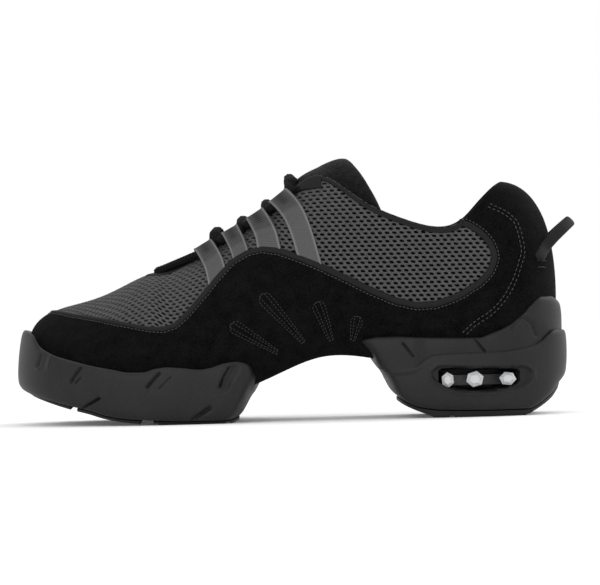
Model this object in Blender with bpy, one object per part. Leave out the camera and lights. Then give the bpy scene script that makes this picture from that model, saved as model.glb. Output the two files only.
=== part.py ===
"""Split-sole dance sneaker, a left shoe, standing empty on the floor.

Metres, +Z up, toe towards -X, outer side towards -Y. The origin is on the floor,
under the middle of the heel tread's flat spot.
"""

import math

import bpy
import numpy as np

# Driving sizes
SOLE_LENGTH = 0.268  # back of the heel unit to the front of the toe lip
BALL_WIDTH = 0.084  # across the upper at its feather edge, at the ball
HEEL_HEIGHT = 0.1128  # back of the collar above the floor
INSTEP_HEIGHT = 0.1185  # front corners of the collar above the floor
SEAT_HEIGHT = 0.027  # feather edge at the heel above the floor
LIP_HEIGHT = 0.0575  # highest point of the heel unit's lip above the floor
TOE_SWING = 0.009  # how far the toe tip leans to the inner side
FIT = 0.0003  # gap between neighbouring pieces

UPPER_WALL = 0.0018
SUEDE_STEP = 0.0009  # the suede wrap stands proud of the mesh
LASTING_MARGIN = 0.009  # turned under, where a sole unit closes the upper
INSOLE_THICKNESS = 0.0035
INSOLE_CLEAR = 0.0007  # round the insole, whose facets are longer than the upper's
TONGUE_THICKNESS = 0.0045
TONGUE_DEPTH = UPPER_WALL + 0.0008  # of its outer face below the last's skin
TONGUE_OVERLAP = 0.007  # hidden under each side of the throat

LACE_DIAMETER = 0.0044
LOOP_WEBBING = 0.0011
LOOP_TUBE = 0.0024  # inner radius of the channel that a lace runs in
TAB_THICKNESS = 0.0010
BAND_WIDTH = 0.0042  # collar band

PULL_LOOP_WIDTH = 0.0046
PULL_LOOP_THICKNESS = 0.0030
PULL_LOOP_REACH = 0.0120  # behind the heel

WINDOW_DEPTH = 0.019  # pocket in each side of the heel unit
WINDOW_RIM = 0.0016  # depth of the recess round the pocket
POD_LENGTH = 0.013

# The upper's sections, from the middle of the heel back (first row) to the toe tip (last row).
# foot_*: feather edge. top_*: collar, throat edge, then the ridge of the vamp.
# *_along: shares of SOLE_LENGTH from the heel unit's back. *_out: shares of BALL_WIDTH from the
# centre line, foot_outer on the outer side and foot_inner on the inner side.
# foot_up: shares of SEAT_HEIGHT. top_up: shares of HEEL_HEIGHT up to the collar's front corner,
# then of INSTEP_HEIGHT. *_lean: degrees from upright, outwards at the foot, inwards at the top.
# *_pull: fullness of the profile at each end, as shares of the distance from foot to top.
SECTION_COLUMNS = (
    "foot_along", "foot_outer", "foot_inner", "foot_up",
    "top_along", "top_out", "top_up",
    "foot_lean", "top_lean", "foot_pull", "top_pull",
)
SECTIONS = (
    (0.033, 0.000, 0.000, 1.000, 0.118, 0.000, 1.000, 10, 72, 0.415, 0.315),
    (0.057, 0.198, 0.198, 0.985, 0.128, 0.134, 0.985, 10, 60, 0.41, 0.305),
    (0.122, 0.318, 0.314, 0.963, 0.160, 0.244, 0.909, 11, 22, 0.40, 0.30),
    (0.213, 0.349, 0.337, 0.963, 0.215, 0.305, 0.819, 13, 10, 0.35, 0.30),
    (0.306, 0.331, 0.291, 1.011, 0.306, 0.335, 0.869, 22, 8, 0.35, 0.30),
    (0.377, 0.320, 0.262, 1.130, 0.377, 0.300, 0.957, 30, 18, 0.33, 0.30),
    (0.448, 0.337, 0.262, 1.137, 0.442, 0.238, 1.000, 34, 36, 0.32, 0.30),
    (0.522, 0.390, 0.320, 0.874, 0.500, 0.198, 0.930, 30, 54, 0.30, 0.30),
    (0.601, 0.451, 0.419, 0.574, 0.567, 0.174, 0.814, 22, 60, 0.30, 0.28),
    (0.683, 0.494, 0.494, 0.456, 0.642, 0.145, 0.715, 18, 66, 0.28, 0.25),
    (0.761, 0.500, 0.512, 0.474, 0.716, 0.099, 0.622, 16, 76, 0.28, 0.25),
    (0.828, 0.470, 0.492, 0.556, 0.761, 0.000, 0.605, 16, 90, 0.30, 0.28),
    (0.887, 0.402, 0.430, 0.711, 0.828, 0.000, 0.537, 18, 90, 0.32, 0.32),
    (0.939, 0.262, 0.280, 0.889, 0.881, 0.000, 0.497, 20, 90, 0.37, 0.42),
    (0.968, 0.000, 0.000, 1.000, 0.903, 0.000, 0.485, 20, 90, 0.42, 0.62),
)
LAST_ROW = len(SECTIONS) - 1
COLLAR_CORNER = 6  # row of the collar's front corner
THROAT_END = 11  # row where the throat closes and the ridge starts
ARCH_REAR = 4.34  # rows between which the upper closes under the foot
ARCH_FRONT = 7.67
COLUMNS_PER_ROW = 3

# The upper edge of the suede wrap, seen from the side: shares of SOLE_LENGTH and of INSTEP_HEIGHT
SUEDE_EDGE = (
    (0.120, 0.800), (0.128, 0.640), (0.155, 0.538), (0.193, 0.487), (0.238, 0.451),
    (0.275, 0.448), (0.311, 0.468), (0.356, 0.512), (0.401, 0.564), (0.447, 0.616),
    (0.482, 0.651), (0.519, 0.682), (0.550, 0.692), (0.574, 0.681), (0.602, 0.646),
    (0.629, 0.581), (0.657, 0.508), (0.686, 0.435), (0.708, 0.392), (0.732, 0.376),
    (0.759, 0.380), (0.805, 0.401), (0.850, 0.422), (0.896, 0.439), (0.930, 0.455),
)
SUEDE_TOP_LIMIT = 0.975  # of the profile, at the heel, where the suede reaches the collar

# Side lines of the sole units: shares of SOLE_LENGTH, then of LIP_HEIGHT
FOREFOOT_LIP = (
    (0.570, 0.421), (0.581, 0.480), (0.601, 0.506), (0.625, 0.494), (0.647, 0.463),
    (0.668, 0.449), (0.703, 0.466), (0.727, 0.473), (0.749, 0.463), (0.770, 0.437),
    (0.794, 0.438), (0.825, 0.464), (0.860, 0.496), (0.895, 0.539), (0.931, 0.590),
    (0.958, 0.660), (0.975, 0.760), (1.000, 0.810),
)
FOREFOOT_BOTTOM = (
    (0.570, 0.060), (0.600, 0.040), (0.625, 0.028), (0.688, 0.028), (0.775, 0.047),
    (0.810, 0.061), (0.841, 0.090), (0.872, 0.136), (0.904, 0.170), (0.931, 0.202),
    (0.966, 0.256), (0.990, 0.306), (1.000, 0.339),
)
FOREFOOT_TREAD = (
    (0.570, 0.030), (0.600, 0.010), (0.616, 0.000), (0.765, 0.000), (0.782, 0.014),
    (0.810, 0.030), (0.841, 0.058), (0.872, 0.102), (0.904, 0.140), (0.950, 0.206),
    (0.987, 0.272), (1.000, 0.310),
)
HEEL_LIP = (
    (0.000, 0.930), (0.012, 0.950), (0.031, 0.998), (0.048, 0.997), (0.066, 0.934),
    (0.084, 0.845), (0.109, 0.760), (0.137, 0.706), (0.165, 0.668), (0.207, 0.670),
    (0.276, 0.682), (0.311, 0.692), (0.346, 0.692), (0.371, 0.663), (0.390, 0.640),
)
HEEL_TIER = (
    (0.000, 0.700), (0.022, 0.713), (0.036, 0.670), (0.050, 0.614), (0.068, 0.576),
    (0.085, 0.562), (0.120, 0.541), (0.172, 0.536), (0.207, 0.534), (0.243, 0.523),
    (0.264, 0.483), (0.275, 0.440), (0.300, 0.415), (0.335, 0.415),
    (0.350, 0.480), (0.390, 0.520),
)
HEEL_BOTTOM = (
    (0.000, 0.325), (0.014, 0.277), (0.035, 0.165), (0.077, 0.056), (0.140, 0.056),
    (0.231, 0.066), (0.273, 0.094), (0.300, 0.148), (0.325, 0.209), (0.390, 0.290),
)
HEEL_TREAD = (
    (0.000, 0.290), (0.010, 0.250), (0.032, 0.134), (0.063, 0.040), (0.082, 0.000),
    (0.243, 0.000), (0.259, 0.028), (0.280, 0.066), (0.300, 0.110), (0.325, 0.175),
    (0.390, 0.250),
)
HEEL_FLAT_MIDDLE = 0.1625  # of SOLE_LENGTH, where the origin is

# Rings of the sole units, from the bottom up: share of the height between two side lines,
# distance outside the feather edge in metres, and how far the unit's end under the arch
# reaches, as a share of SOLE_LENGTH.
FOREFOOT_RINGS = (
    (0.00, 0.0058, 0.603),
    (0.06, 0.0083, 0.596),
    (0.45, 0.0088, 0.580),
    (0.84, 0.0082, 0.573),
    (1.00, 0.0060, 0.570),
)
HEEL_LOWER_RINGS = (
    (0.00, 0.0058, 0.300),
    (0.10, 0.0082, 0.318),
    (0.55, 0.0088, 0.331),
    (1.00, 0.0082, 0.338),
)
HEEL_UPPER_RINGS = (
    (0.04, 0.0062, 0.349),
    (0.50, 0.0066, 0.360),
    (1.00, 0.0050, 0.371),
)
LEDGE_INSIDE = 0.0005  # the innermost ring, within the upper
LEDGE_END = 0.02  # of SOLE_LENGTH, how far that ring stops short of the unit's end
END_ROUNDING = 0.034  # of SOLE_LENGTH, depth of the rounded end under the arch
TREAD_INSET = 0.0012
FOREFOOT_PADS = ((0.560, 0.754), (0.778, 0.892), (0.904, 1.010))  # shares of SOLE_LENGTH

# The heel window: share of SOLE_LENGTH, then its lower and upper edge as shares of SEAT_HEIGHT
WINDOW_RECESS = (
    (0.069, 0.680, 0.740), (0.075, 0.580, 0.830), (0.088, 0.500, 0.858), (0.120, 0.435, 0.862),
    (0.160, 0.415, 0.866), (0.195, 0.440, 0.880), (0.222, 0.520, 0.900), (0.238, 0.620, 0.890),
    (0.247, 0.720, 0.790),
)
WINDOW_OPENING = (
    (0.089, 0.620, 0.780), (0.095, 0.560, 0.812), (0.115, 0.490, 0.818), (0.158, 0.460, 0.824),
    (0.195, 0.485, 0.836), (0.218, 0.560, 0.850), (0.228, 0.640, 0.820),
)
# Share of SOLE_LENGTH, radius as a share of SEAT_HEIGHT, turn of the facets in degrees
PODS = ((0.209, 0.115, 23), (0.163, 0.150, 46), (0.112, 0.145, 69))
POD_RINGS = ((0.0, 0.85), (0.45, 1.0), (0.86, 0.95), (1.0, 0.55))  # share of its length, of its radius
POD_UP = 0.655  # of SEAT_HEIGHT
POD_SIDES = 7
POD_GAP = 0.0009  # between a flat-ended pod and the curved strip behind it
CARRIER_THICKNESS = 0.003
CARRIER_HALF = 0.09  # of SEAT_HEIGHT, half the height of the strip behind the pods

# Lace loops on each side, as shares of SOLE_LENGTH: front and rear of each at the throat edge,
# then at the edge of the suede wrap
LOOPS = (
    (0.679, 0.651, 0.657, 0.628),
    (0.622, 0.597, 0.606, 0.580),
    (0.576, 0.549, 0.558, 0.522),
    (0.537, 0.507, 0.482, 0.444),
)
LOOP_FOLD = 0.0105  # length of webbing turned back under itself
LOOP_TUBE_LONG = 0.0042
LOOP_LIFT = 0.0007  # gap between a flat loop and the rounded upper
LOOP_END_GAP = 0.0024  # between a loop's foot and the suede's edge
LACE_TURNS = (0.724, 0.6365, 0.5865, 0.543, 0.496)  # gaps between the loops
LACE_TURN = 0.74  # how near the throat's edge a strand turns, as a share of its half width
LACE_CLEAR = 0.0007  # between the laces and the rounded tongue
LACE_FRONT_RISE = 0.0012  # more than that at the first turn, over the throat's narrow end
THROAT_ARCH = ((0, 0.56), (5.2, 0.54), (6, 0.43), (8, 0.25), (14, 0.18))  # row, fullness
TOP_TAB = (6.05, 6.72)  # rows between which the top eyestay tab lies
TOP_TAB_DEPTH = 0.0070
BAND_END = 2.34  # row where the collar band meets the heel's suede
TONGUE_BASE = 10.85
TONGUE_TOP = 5.20  # rows that the tongue reaches in its middle and at its wings
TONGUE_WINGS = 4.35
TONGUE_TOP_ROUNDING = 1.9


def steady(rows, at):
    """Straight runs between the rows of a two-column table."""
    table = np.array(rows)
    return np.interp(at, table[:, 0], table[:, 1])


def eased(rows, at):
    """A smooth curve through the rows of a two-column table that never overshoots them."""
    table = np.array(rows, float)
    x, y = table[:, 0], table[:, 1]
    step = np.diff(x)
    slope = np.diff(y) / step
    same_way = slope[1:] * slope[:-1] > 0
    total = np.where(same_way, slope[1:] + slope[:-1], 1.0)
    inner = np.where(same_way, 2 * slope[1:] * slope[:-1] / total, 0.0)
    tangent = np.concatenate([slope[:1], inner, slope[-1:]])
    at = np.clip(np.asarray(at, float), x[0], x[-1])
    i = np.clip(np.searchsorted(x, at, side="right") - 1, 0, len(x) - 2)
    t = (at - x[i]) / step[i]
    return (
        (2 * t**3 - 3 * t**2 + 1) * y[i]
        + (t**3 - 2 * t**2 + t) * step[i] * tangent[i]
        + (3 * t**2 - 2 * t**3) * y[i + 1]
        + (t**3 - t**2) * step[i] * tangent[i + 1]
    )


def closed_spline(values, at):
    """A cubic spline through values at 0, 1, 2 ..., closed on itself."""
    values = np.asarray(values, float)
    n = len(values)
    matrix = 4 * np.eye(n) + np.roll(np.eye(n), 1, axis=0) + np.roll(np.eye(n), -1, axis=0)
    bend = np.linalg.solve(matrix, 6 * (np.roll(values, -1) - 2 * values + np.roll(values, 1)))
    at = np.mod(at, n)
    i = np.floor(at).astype(int) % n
    k = (i + 1) % n
    t = at - np.floor(at)
    return (
        (1 - t) * values[i]
        + t * values[k]
        + ((1 - t) ** 3 - (1 - t)) * bend[i] / 6
        + (t**3 - t) * bend[k] / 6
    )


def column(name):
    """One column of SECTIONS for the whole way round: the outer side, then the inner one back."""
    index = SECTION_COLUMNS.index(name)
    rows = [row[index] for row in SECTIONS]
    return np.array(rows + rows[LAST_ROW - 1:0:-1], float)


def half_way(u):
    """The same station counted from the heel, whichever side of the shoe it is on."""
    u = np.mod(u, 2 * LAST_ROW)
    return np.minimum(u, 2 * LAST_ROW - u)


def row_curve(name, u):
    """A column of SECTIONS, mirrored on both sides and never overshooting its rows."""
    index = SECTION_COLUMNS.index(name)
    rows = [(i, row[index]) for i, row in enumerate(SECTIONS)]
    return eased(rows, half_way(u))


def to_x(along):
    return (HEEL_FLAT_MIDDLE - np.asarray(along, float)) * SOLE_LENGTH


def to_along(x):
    return HEEL_FLAT_MIDDLE - np.asarray(x, float) / SOLE_LENGTH


def centre_line(along):
    """Sideways place of the shoe's middle: straight to the waist, then leaning to the inner side."""
    forward = np.clip((np.asarray(along, float) - 0.4) / 0.6, 0, None)
    return TOE_SWING * forward**2


def feather(u):
    """The feather edge, where the upper turns under."""
    along = closed_spline(column("foot_along"), u)
    outer = -column("foot_outer")
    inner = column("foot_inner")
    n = 2 * LAST_ROW
    rows = np.where(np.arange(n) <= LAST_ROW, outer, inner)
    out = closed_spline(rows, u) * BALL_WIDTH
    up = closed_spline(column("foot_up"), u) * SEAT_HEIGHT
    return np.stack([to_x(along), centre_line(along) + out, up], axis=-1)


def outwards(u):
    """The level direction out of the shoe at the feather edge."""
    step = 0.02
    ahead = feather(u + step) - feather(u - step)
    out = np.stack([-ahead[..., 1], ahead[..., 0], np.zeros(np.shape(u))], axis=-1)
    return out / np.linalg.norm(out, axis=-1, keepdims=True)


def top_line(u):
    """Collar and throat edge, then the ridge of the vamp, which both sides share."""
    along = closed_spline(column("top_along"), u)
    front_rows = LAST_ROW + 1 - COLLAR_CORNER
    heights = np.array([HEEL_HEIGHT] * COLLAR_CORNER + [INSTEP_HEIGHT] * front_rows)
    heights = np.concatenate([heights, heights[LAST_ROW - 1:0:-1]])
    up = closed_spline(column("top_up") * heights, u)
    out = row_curve("top_out", u) * BALL_WIDTH
    side = np.where(np.mod(u, 2 * LAST_ROW) <= LAST_ROW, -1.0, 1.0)
    return np.stack([to_x(along), centre_line(along) + side * out, up], axis=-1)


def ridge_slope(u):
    """Rise of the ridge per metre towards the heel."""
    near = np.clip(half_way(u), THROAT_END, LAST_ROW - 0.3)
    step = 0.1
    ahead = top_line(near + step) - top_line(near - step)
    return ahead[..., 2] / ahead[..., 0]


def top_heading(u):
    """Direction in which a profile arrives at the top line."""
    lean = np.radians(row_curve("top_lean", u))[..., None]
    out = outwards(u)
    level = -out
    level[..., 2] = -out[..., 0] * ridge_slope(u) * np.sin(lean[..., 0])
    return np.cos(lean) * np.array([0.0, 0.0, 1.0]) + np.sin(lean) * level


def profile(u, v):
    """The last's skin: u runs round the shoe in rows of SECTIONS, v from feather edge to top line."""
    foot = feather(u)
    top = top_line(u)
    span = np.linalg.norm(top - foot, axis=-1, keepdims=True)
    lean = np.radians(row_curve("foot_lean", u))[..., None]
    leave = np.cos(lean) * np.array([0.0, 0.0, 1.0]) + np.sin(lean) * outwards(u)
    low = foot + leave * span * row_curve("foot_pull", u)[..., None]
    high = top - top_heading(u) * span * row_curve("top_pull", u)[..., None]
    v = np.asarray(v, float)[..., None]
    return (
        (1 - v) ** 3 * foot + 3 * (1 - v) ** 2 * v * low + 3 * (1 - v) * v**2 * high + v**3 * top
    )


def facing(u, v):
    """Unit normal of the last's skin, out of the shoe."""
    v = np.clip(v, 0.01, 0.985)
    along = profile(u + 0.02, v) - profile(u - 0.02, v)
    across = profile(u, v + 0.01) - profile(u, v - 0.01)
    normal = np.cross(across, along)
    return normal / np.linalg.norm(normal, axis=-1, keepdims=True)


def skin(u, v, lift):
    """A point at the height lift above the last's skin."""
    return profile(u, v) + facing(u, v) * np.asarray(lift, float)[..., None]


def station(along, line):
    """The u on the outer side where feather or top line reaches this share of the length."""
    u = np.linspace(0, LAST_ROW, 700)
    reached = to_along(line(u)[..., 0])
    return float(np.interp(along, reached, u))


def below_top(u, distance):
    """v at this distance down the profile from the top line."""
    v = np.linspace(1, 0, 121)
    u = np.atleast_1d(u)
    places = profile(np.repeat(u[:, None], len(v), 1), np.repeat(v[None], len(u), 0))
    steps = np.linalg.norm(np.diff(places, axis=1), axis=-1)
    reached = np.concatenate([np.zeros((len(u), 1)), np.cumsum(steps, axis=1)], axis=1)
    return np.array([np.interp(distance, row, v) for row in reached])


def suede_share(u):
    """v at the upper edge of the suede wrap."""
    v = np.linspace(0, 1, 160)
    places = profile(np.repeat(u[:, None], len(v), 1), np.repeat(v[None], len(u), 0))
    edge = steady(SUEDE_EDGE, to_along(places[..., 0])) * INSTEP_HEIGHT
    over = places[..., 2] - edge
    first = np.argmax(over > 0, axis=1)
    first = np.where(over.max(axis=1) > 0, first, len(v) - 1)
    band = below_top(u, BAND_WIDTH + 2 * FIT)
    limit = np.where(half_way(u) < BAND_END, SUEDE_TOP_LIMIT, band)
    return np.clip(v[first], 0.2, limit)


def new_material(name, colour, roughness, metallic=0.0):
    material = bpy.data.materials.new(name)
    material.use_nodes = True
    shader = material.node_tree.nodes["Principled BSDF"]
    shader.inputs["Base Color"].default_value = (*colour, 1.0)
    shader.inputs["Roughness"].default_value = roughness
    shader.inputs["Metallic"].default_value = metallic
    return material


def add_piece(name, vertices, faces, material, smooth=True):
    mesh = bpy.data.meshes.new(name)
    mesh.from_pydata([tuple(map(float, p)) for p in vertices], [], [tuple(map(int, f)) for f in faces])
    mesh.validate()
    if smooth:
        mesh.shade_smooth()
        mesh.set_sharp_from_angle(angle=math.radians(40))
    piece = bpy.data.objects.new(name, mesh)
    bpy.context.scene.collection.objects.link(piece)
    if material is not None:
        mesh.materials.append(material)
    return piece


def rim_faces(faces, shift):
    """Walls that join each open edge of a skin to the same edge of the skin shift vertices on."""
    edges = {}
    for face in faces:
        for a, b in zip(face, face[1:] + face[:1]):
            edges[(a, b)] = True
    return [(b, a, a + shift, b + shift) for a, b in edges if (b, a) not in edges]


def add_wall(name, outer, inner, faces, material):
    """A closed wall between two skins of the same faces. The faces point out of the outer one."""
    count = len(outer)
    inside = [tuple(i + count for i in reversed(face)) for face in faces]
    vertices = np.concatenate([outer, inner])
    return add_piece(name, vertices, faces + inside + rim_faces(faces, count), material)


def add_face(faces, corners):
    """Adds the face of these corners, leaving out a corner that repeats the one before it."""
    kept = tuple(int(c) for c, before in zip(corners, corners[-1:] + corners[:-1]) if c != before)
    if len(set(kept)) > 2:
        faces.append(kept)


def grid_faces(index, wrap=False):
    """Quads of an array of vertex numbers, with triangles where two corners are one vertex."""
    n, m = index.shape
    faces = []
    for i in range(n if wrap else n - 1):
        k = (i + 1) % n
        for j in range(m - 1):
            corners = [index[i, j], index[i, j + 1], index[k, j + 1], index[k, j]]
            if min(corners) < 0:
                continue
            add_face(faces, corners)
    return faces


def upper_columns():
    return np.arange(2 * LAST_ROW * COLUMNS_PER_ROW) / COLUMNS_PER_ROW


def upper_rows(u):
    """v and lift of each row of the upper at the stations u, the suede's step included."""
    edge = suede_share(u)[:, None]
    below = np.array([0.0, 0.11, 0.25, 0.42, 0.62, 0.82, 1.0])[None] * edge
    above = edge + (1 - edge) * np.array([0.03, 0.20, 0.45, 0.72, 1.0])[None]
    v = np.concatenate([below, above], axis=1)
    lift = np.concatenate([np.full(below.shape, SUEDE_STEP), np.zeros(above.shape)], axis=1)
    lift[:, 0] = 0
    return v, lift


def upper_skin(open_below, extra=0.0):
    """Vertices and faces of the upper's outer skin, its rows under the foot first.

    open_below leaves the skin open under the heel and the forefoot, past the lasting margin.
    extra lifts the whole skin outwards.
    """
    u = upper_columns()
    n = len(u)
    v, lift = upper_rows(u)
    grid_u = np.repeat(u[:, None], v.shape[1], 1)
    side = skin(grid_u, v, lift + extra)
    inner = skin(grid_u, v, np.full(v.shape, -UPPER_WALL))
    foot, out = feather(u), outwards(u)
    down = np.array([0.0, 0.0, -1.0])
    side[:, 0] = foot + (out + down) * extra
    inner[:, 0] = foot - (out * 1.15 + down) * UPPER_WALL
    margin = foot - out * LASTING_MARGIN + down * extra
    mirror = (-np.arange(n)) % n
    middle = (margin + margin[mirror]) / 2
    outer = np.concatenate([middle[:, None], margin[:, None], side], axis=1)
    inner = np.concatenate(
        [middle[:, None] - down * UPPER_WALL, margin[:, None] - down * UPPER_WALL, inner], axis=1
    )
    index = np.arange(outer.shape[0] * outer.shape[1]).reshape(outer.shape[:2])
    ridge = half_way(u) >= THROAT_END
    halves = np.arange(n) > n // 2
    for mask, row in ((ridge, -1), (np.ones(n, bool), 0)):
        for layer in (outer, inner):
            shared = (layer[:, row] + layer[mirror, row]) / 2
            layer[:, row] = np.where(mask[:, None], shared, layer[:, row])
        index[:, row] = np.where(mask & halves, index[mirror, row], index[:, row])
    index[0, 0], index[n // 2, 0] = index[0, 1], index[n // 2, 1]
    if open_below:
        arch = (half_way(u) >= ARCH_REAR) & (half_way(u) <= ARCH_FRONT)
        index[:, 0] = np.where(arch, index[:, 0], -1)
    return outer.reshape(-1, 3), inner.reshape(-1, 3), index


def compact(layers, faces):
    """Drops the vertices that no face uses."""
    used = np.unique(np.concatenate([np.array(face) for face in faces]))
    number = {int(old): new for new, old in enumerate(used)}
    return [layer[used] for layer in layers], [tuple(number[i] for i in face) for face in faces]


def make_upper(material):
    outer, inner, index = upper_skin(open_below=True)
    faces = grid_faces(index, wrap=True)
    (outer, inner), faces = compact([outer, inner], faces)
    return add_wall("upper", outer, inner, faces, material)


def make_last_cutter():
    """The upper's outer form, filled and one gap larger."""
    outer, _, index = upper_skin(open_below=False, extra=FIT)
    faces = grid_faces(index, wrap=True)
    n = index.shape[0]
    top = index[:, -1]
    for i in range(n // 2):
        add_face(faces, [top[i], top[(n - i) % n], top[(n - i - 1) % n], top[i + 1]])
    (outer,), faces = compact([outer], faces)
    return make_guide(add_piece("last_cutter", outer, faces, None, smooth=False))


def make_guide(piece):
    piece.hide_render = True
    piece.display_type = "WIRE"
    return piece


def cut(piece, cutter, operation="DIFFERENCE"):
    boolean = piece.modifiers.new("cut " + cutter.name, "BOOLEAN")
    boolean.operation = operation
    boolean.solver = "EXACT"
    boolean.object = cutter


def unit_outline(heel, out, end):
    """Closed plan outline of a sole unit, from its middle round the outer side and back.

    It follows the feather edge at the distance out, and closes with a rounded end that reaches
    the share end of the length.
    """
    start = station(end - END_ROUNDING if heel else end + END_ROUNDING, feather)
    middle = 0.0 if heel else float(LAST_ROW)
    sides = 17
    run = np.linspace(middle, start, sides + 1)
    edge = feather(run) + outwards(run) * out
    other = feather(2 * LAST_ROW - run) + outwards(2 * LAST_ROW - run) * out
    turn = np.linspace(0, math.pi, 10)[1:-1, None]
    reach = to_x(end) - (edge[-1, 0] + other[-1, 0]) / 2
    across = (edge[-1] + other[-1]) / 2 + (edge[-1] - other[-1]) / 2 * np.cos(turn)
    bulge = np.sin(turn) ** 0.6 * np.array([reach, 0, 0])
    return np.concatenate([edge, across + bulge, other[:0:-1]])


def unit_ring(heel, low, high, ring):
    share, out, end = ring
    outline = unit_outline(heel, out, end)
    along = to_along(outline[:, 0])
    bottom = eased(low, along) * LIP_HEIGHT
    top = eased(high, along) * LIP_HEIGHT
    outline[:, 2] = bottom + (top - bottom) * share
    return outline


def add_rings(name, rings, material):
    """A solid through closed rings, from the bottom up, each end closed by strips across it."""
    count = len(rings[0])
    index = np.arange(count * len(rings)).reshape(len(rings), count).T
    faces = grid_faces(index, wrap=True)
    half = count // 2
    for ring, turned in ((index[:, 0], False), (index[:, -1], True)):
        for i in range(half):
            corners = [ring[i], ring[i + 1], ring[(count - i - 1) % count], ring[(count - i) % count]]
            add_face(faces, corners[::-1] if turned else corners)
    piece = add_piece(name, np.concatenate(rings), faces, material)
    turn_out(piece)
    return piece


def make_forefoot_unit(cutter, material):
    ledge = (1.0, LEDGE_INSIDE, FOREFOOT_RINGS[-1][2] + LEDGE_END)
    lines = FOREFOOT_BOTTOM, FOREFOOT_LIP
    rings = [unit_ring(False, *lines, ring) for ring in (*FOREFOOT_RINGS, ledge)]
    unit = add_rings("forefoot_midsole", rings, material)
    cut(unit, cutter)
    return unit


def make_heel_unit(cutter, material):
    ledge = (1.0, LEDGE_INSIDE, HEEL_UPPER_RINGS[-1][2] - LEDGE_END)
    rings = [unit_ring(True, HEEL_BOTTOM, HEEL_TIER, ring) for ring in HEEL_LOWER_RINGS]
    rings += [unit_ring(True, HEEL_TIER, HEEL_LIP, ring) for ring in (*HEEL_UPPER_RINGS, ledge)]
    unit = add_rings("heel_midsole", rings, material)
    cut(unit, cutter)
    return unit


def make_tread(name, heel, low, line, material):
    """The tread under a whole unit, from its floor side up to the midsole's bottom."""
    _, out, end = (HEEL_LOWER_RINGS if heel else FOREFOOT_RINGS)[0]
    rings = []
    for outline_out, rows, gap in ((out - 2 * TREAD_INSET, line, 0.0), (out - TREAD_INSET, low, FIT)):
        ring = unit_outline(heel, outline_out, end)
        ring[:, 2] = eased(rows, to_along(ring[:, 0])) * LIP_HEIGHT - gap
        rings.append(ring)
    return add_rings(name, rings, material)


def make_slab(name, front, rear):
    """A guide block across the whole shoe between two shares of the length."""
    x = to_x(np.array([rear, front]))
    y = np.array([-1, 1]) * BALL_WIDTH
    z = np.array([-0.5, 1]) * LIP_HEIGHT
    corners = [(a, b, c) for c in z for b in y for a in x]
    faces = [(0, 2, 3, 1), (4, 5, 7, 6), (0, 1, 5, 4), (1, 3, 7, 5), (3, 2, 6, 7), (2, 0, 4, 6)]
    piece = add_piece(name, corners, faces, None, smooth=False)
    turn_out(piece)
    return make_guide(piece)


def make_treads(material):
    make_tread("heel_tread", True, HEEL_BOTTOM, HEEL_TREAD, material)
    for number, (rear, front) in enumerate(FOREFOOT_PADS, 1):
        pad = make_tread(f"forefoot_tread_{number}", False, FOREFOOT_BOTTOM, FOREFOOT_TREAD, material)
        cut(pad, make_slab(f"slab_{number}", front, rear), "INTERSECT")


def heel_side(along, out, side):
    """Points at the distance out from the feather edge, at these shares of the length."""
    u = np.linspace(0, 5, 300) * (1 if side < 0 else -1)
    edge = feather(u) + outwards(u) * out
    y = np.interp(along, to_along(edge[:, 0]), edge[:, 1])
    return np.stack([to_x(along), y], axis=-1)


def make_window_block(name, rows, outer, inner, side, material=None):
    """A block with a window's outline, between two distances from the feather edge."""
    table = np.array(rows)
    layers = []
    for out in (outer, inner):
        plan = heel_side(table[:, 0], out, side)
        grid = np.zeros((len(table), 3, 3))
        grid[:, :, :2] = plan[:, None]
        for row, share in enumerate((0.0, 0.5, 1.0)):
            grid[:, row, 2] = (table[:, 1] * (1 - share) + table[:, 2] * share) * SEAT_HEIGHT
        layers.append(grid.reshape(-1, 3))
    index = np.arange(len(table) * 3).reshape(len(table), 3)
    faces = grid_faces(index)
    piece = add_wall(name, layers[0], layers[1], faces, material)
    turn_out(piece)
    return piece


def make_window(unit, side, word, rubber, clear):
    """The pocket with its recess, the carrier on the pocket's floor, and the pods in front of it."""
    face = max(ring[1] for ring in HEEL_LOWER_RINGS)
    floor = face - WINDOW_DEPTH
    beyond = face + 0.01
    recess = make_window_block(f"recess_{word}", WINDOW_RECESS, beyond, face - WINDOW_RIM, side)
    pocket = make_window_block(f"pocket_{word}", WINDOW_OPENING, beyond, floor, side)
    cut(unit, make_guide(recess))
    cut(unit, make_guide(pocket))
    carrier = [
        (along, POD_UP - CARRIER_HALF, POD_UP + CARRIER_HALF) for along, _, _ in WINDOW_OPENING[1:-1]
    ]
    front = floor + FIT + CARRIER_THICKNESS
    make_window_block(f"pod_carrier_{word}", carrier, front, floor + FIT, side, rubber)
    for number, pod in enumerate(PODS, 1):
        make_pod(f"pod_{word}_{number}", pod, front + POD_GAP, side, clear)


def make_pod(name, pod, base, side, material):
    """A faceted pod that stands out from the distance base off the feather edge."""
    along, radius, turned = pod
    radius *= SEAT_HEIGHT
    ends = [heel_side(np.array([along]), base + d, side)[0] for d in (0, POD_LENGTH)]
    axis = np.append(ends[1] - ends[0], 0) / np.linalg.norm(ends[1] - ends[0])
    across = np.array([-axis[1], axis[0], 0])
    slant = radius * abs(axis[0])
    start = np.append(ends[0], POD_UP * SEAT_HEIGHT) + axis * slant
    turn = math.radians(turned) + np.arange(POD_SIDES)[:, None] / POD_SIDES * 2 * math.pi
    round_axis = np.cos(turn) * across + np.sin(turn) * np.array([0, 0, 1])
    rings = [
        start + axis * share * (POD_LENGTH - 2 * slant) + round_axis * radius * size
        for share, size in POD_RINGS
    ]
    add_tube(name, rings, material, smooth=False)


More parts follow.
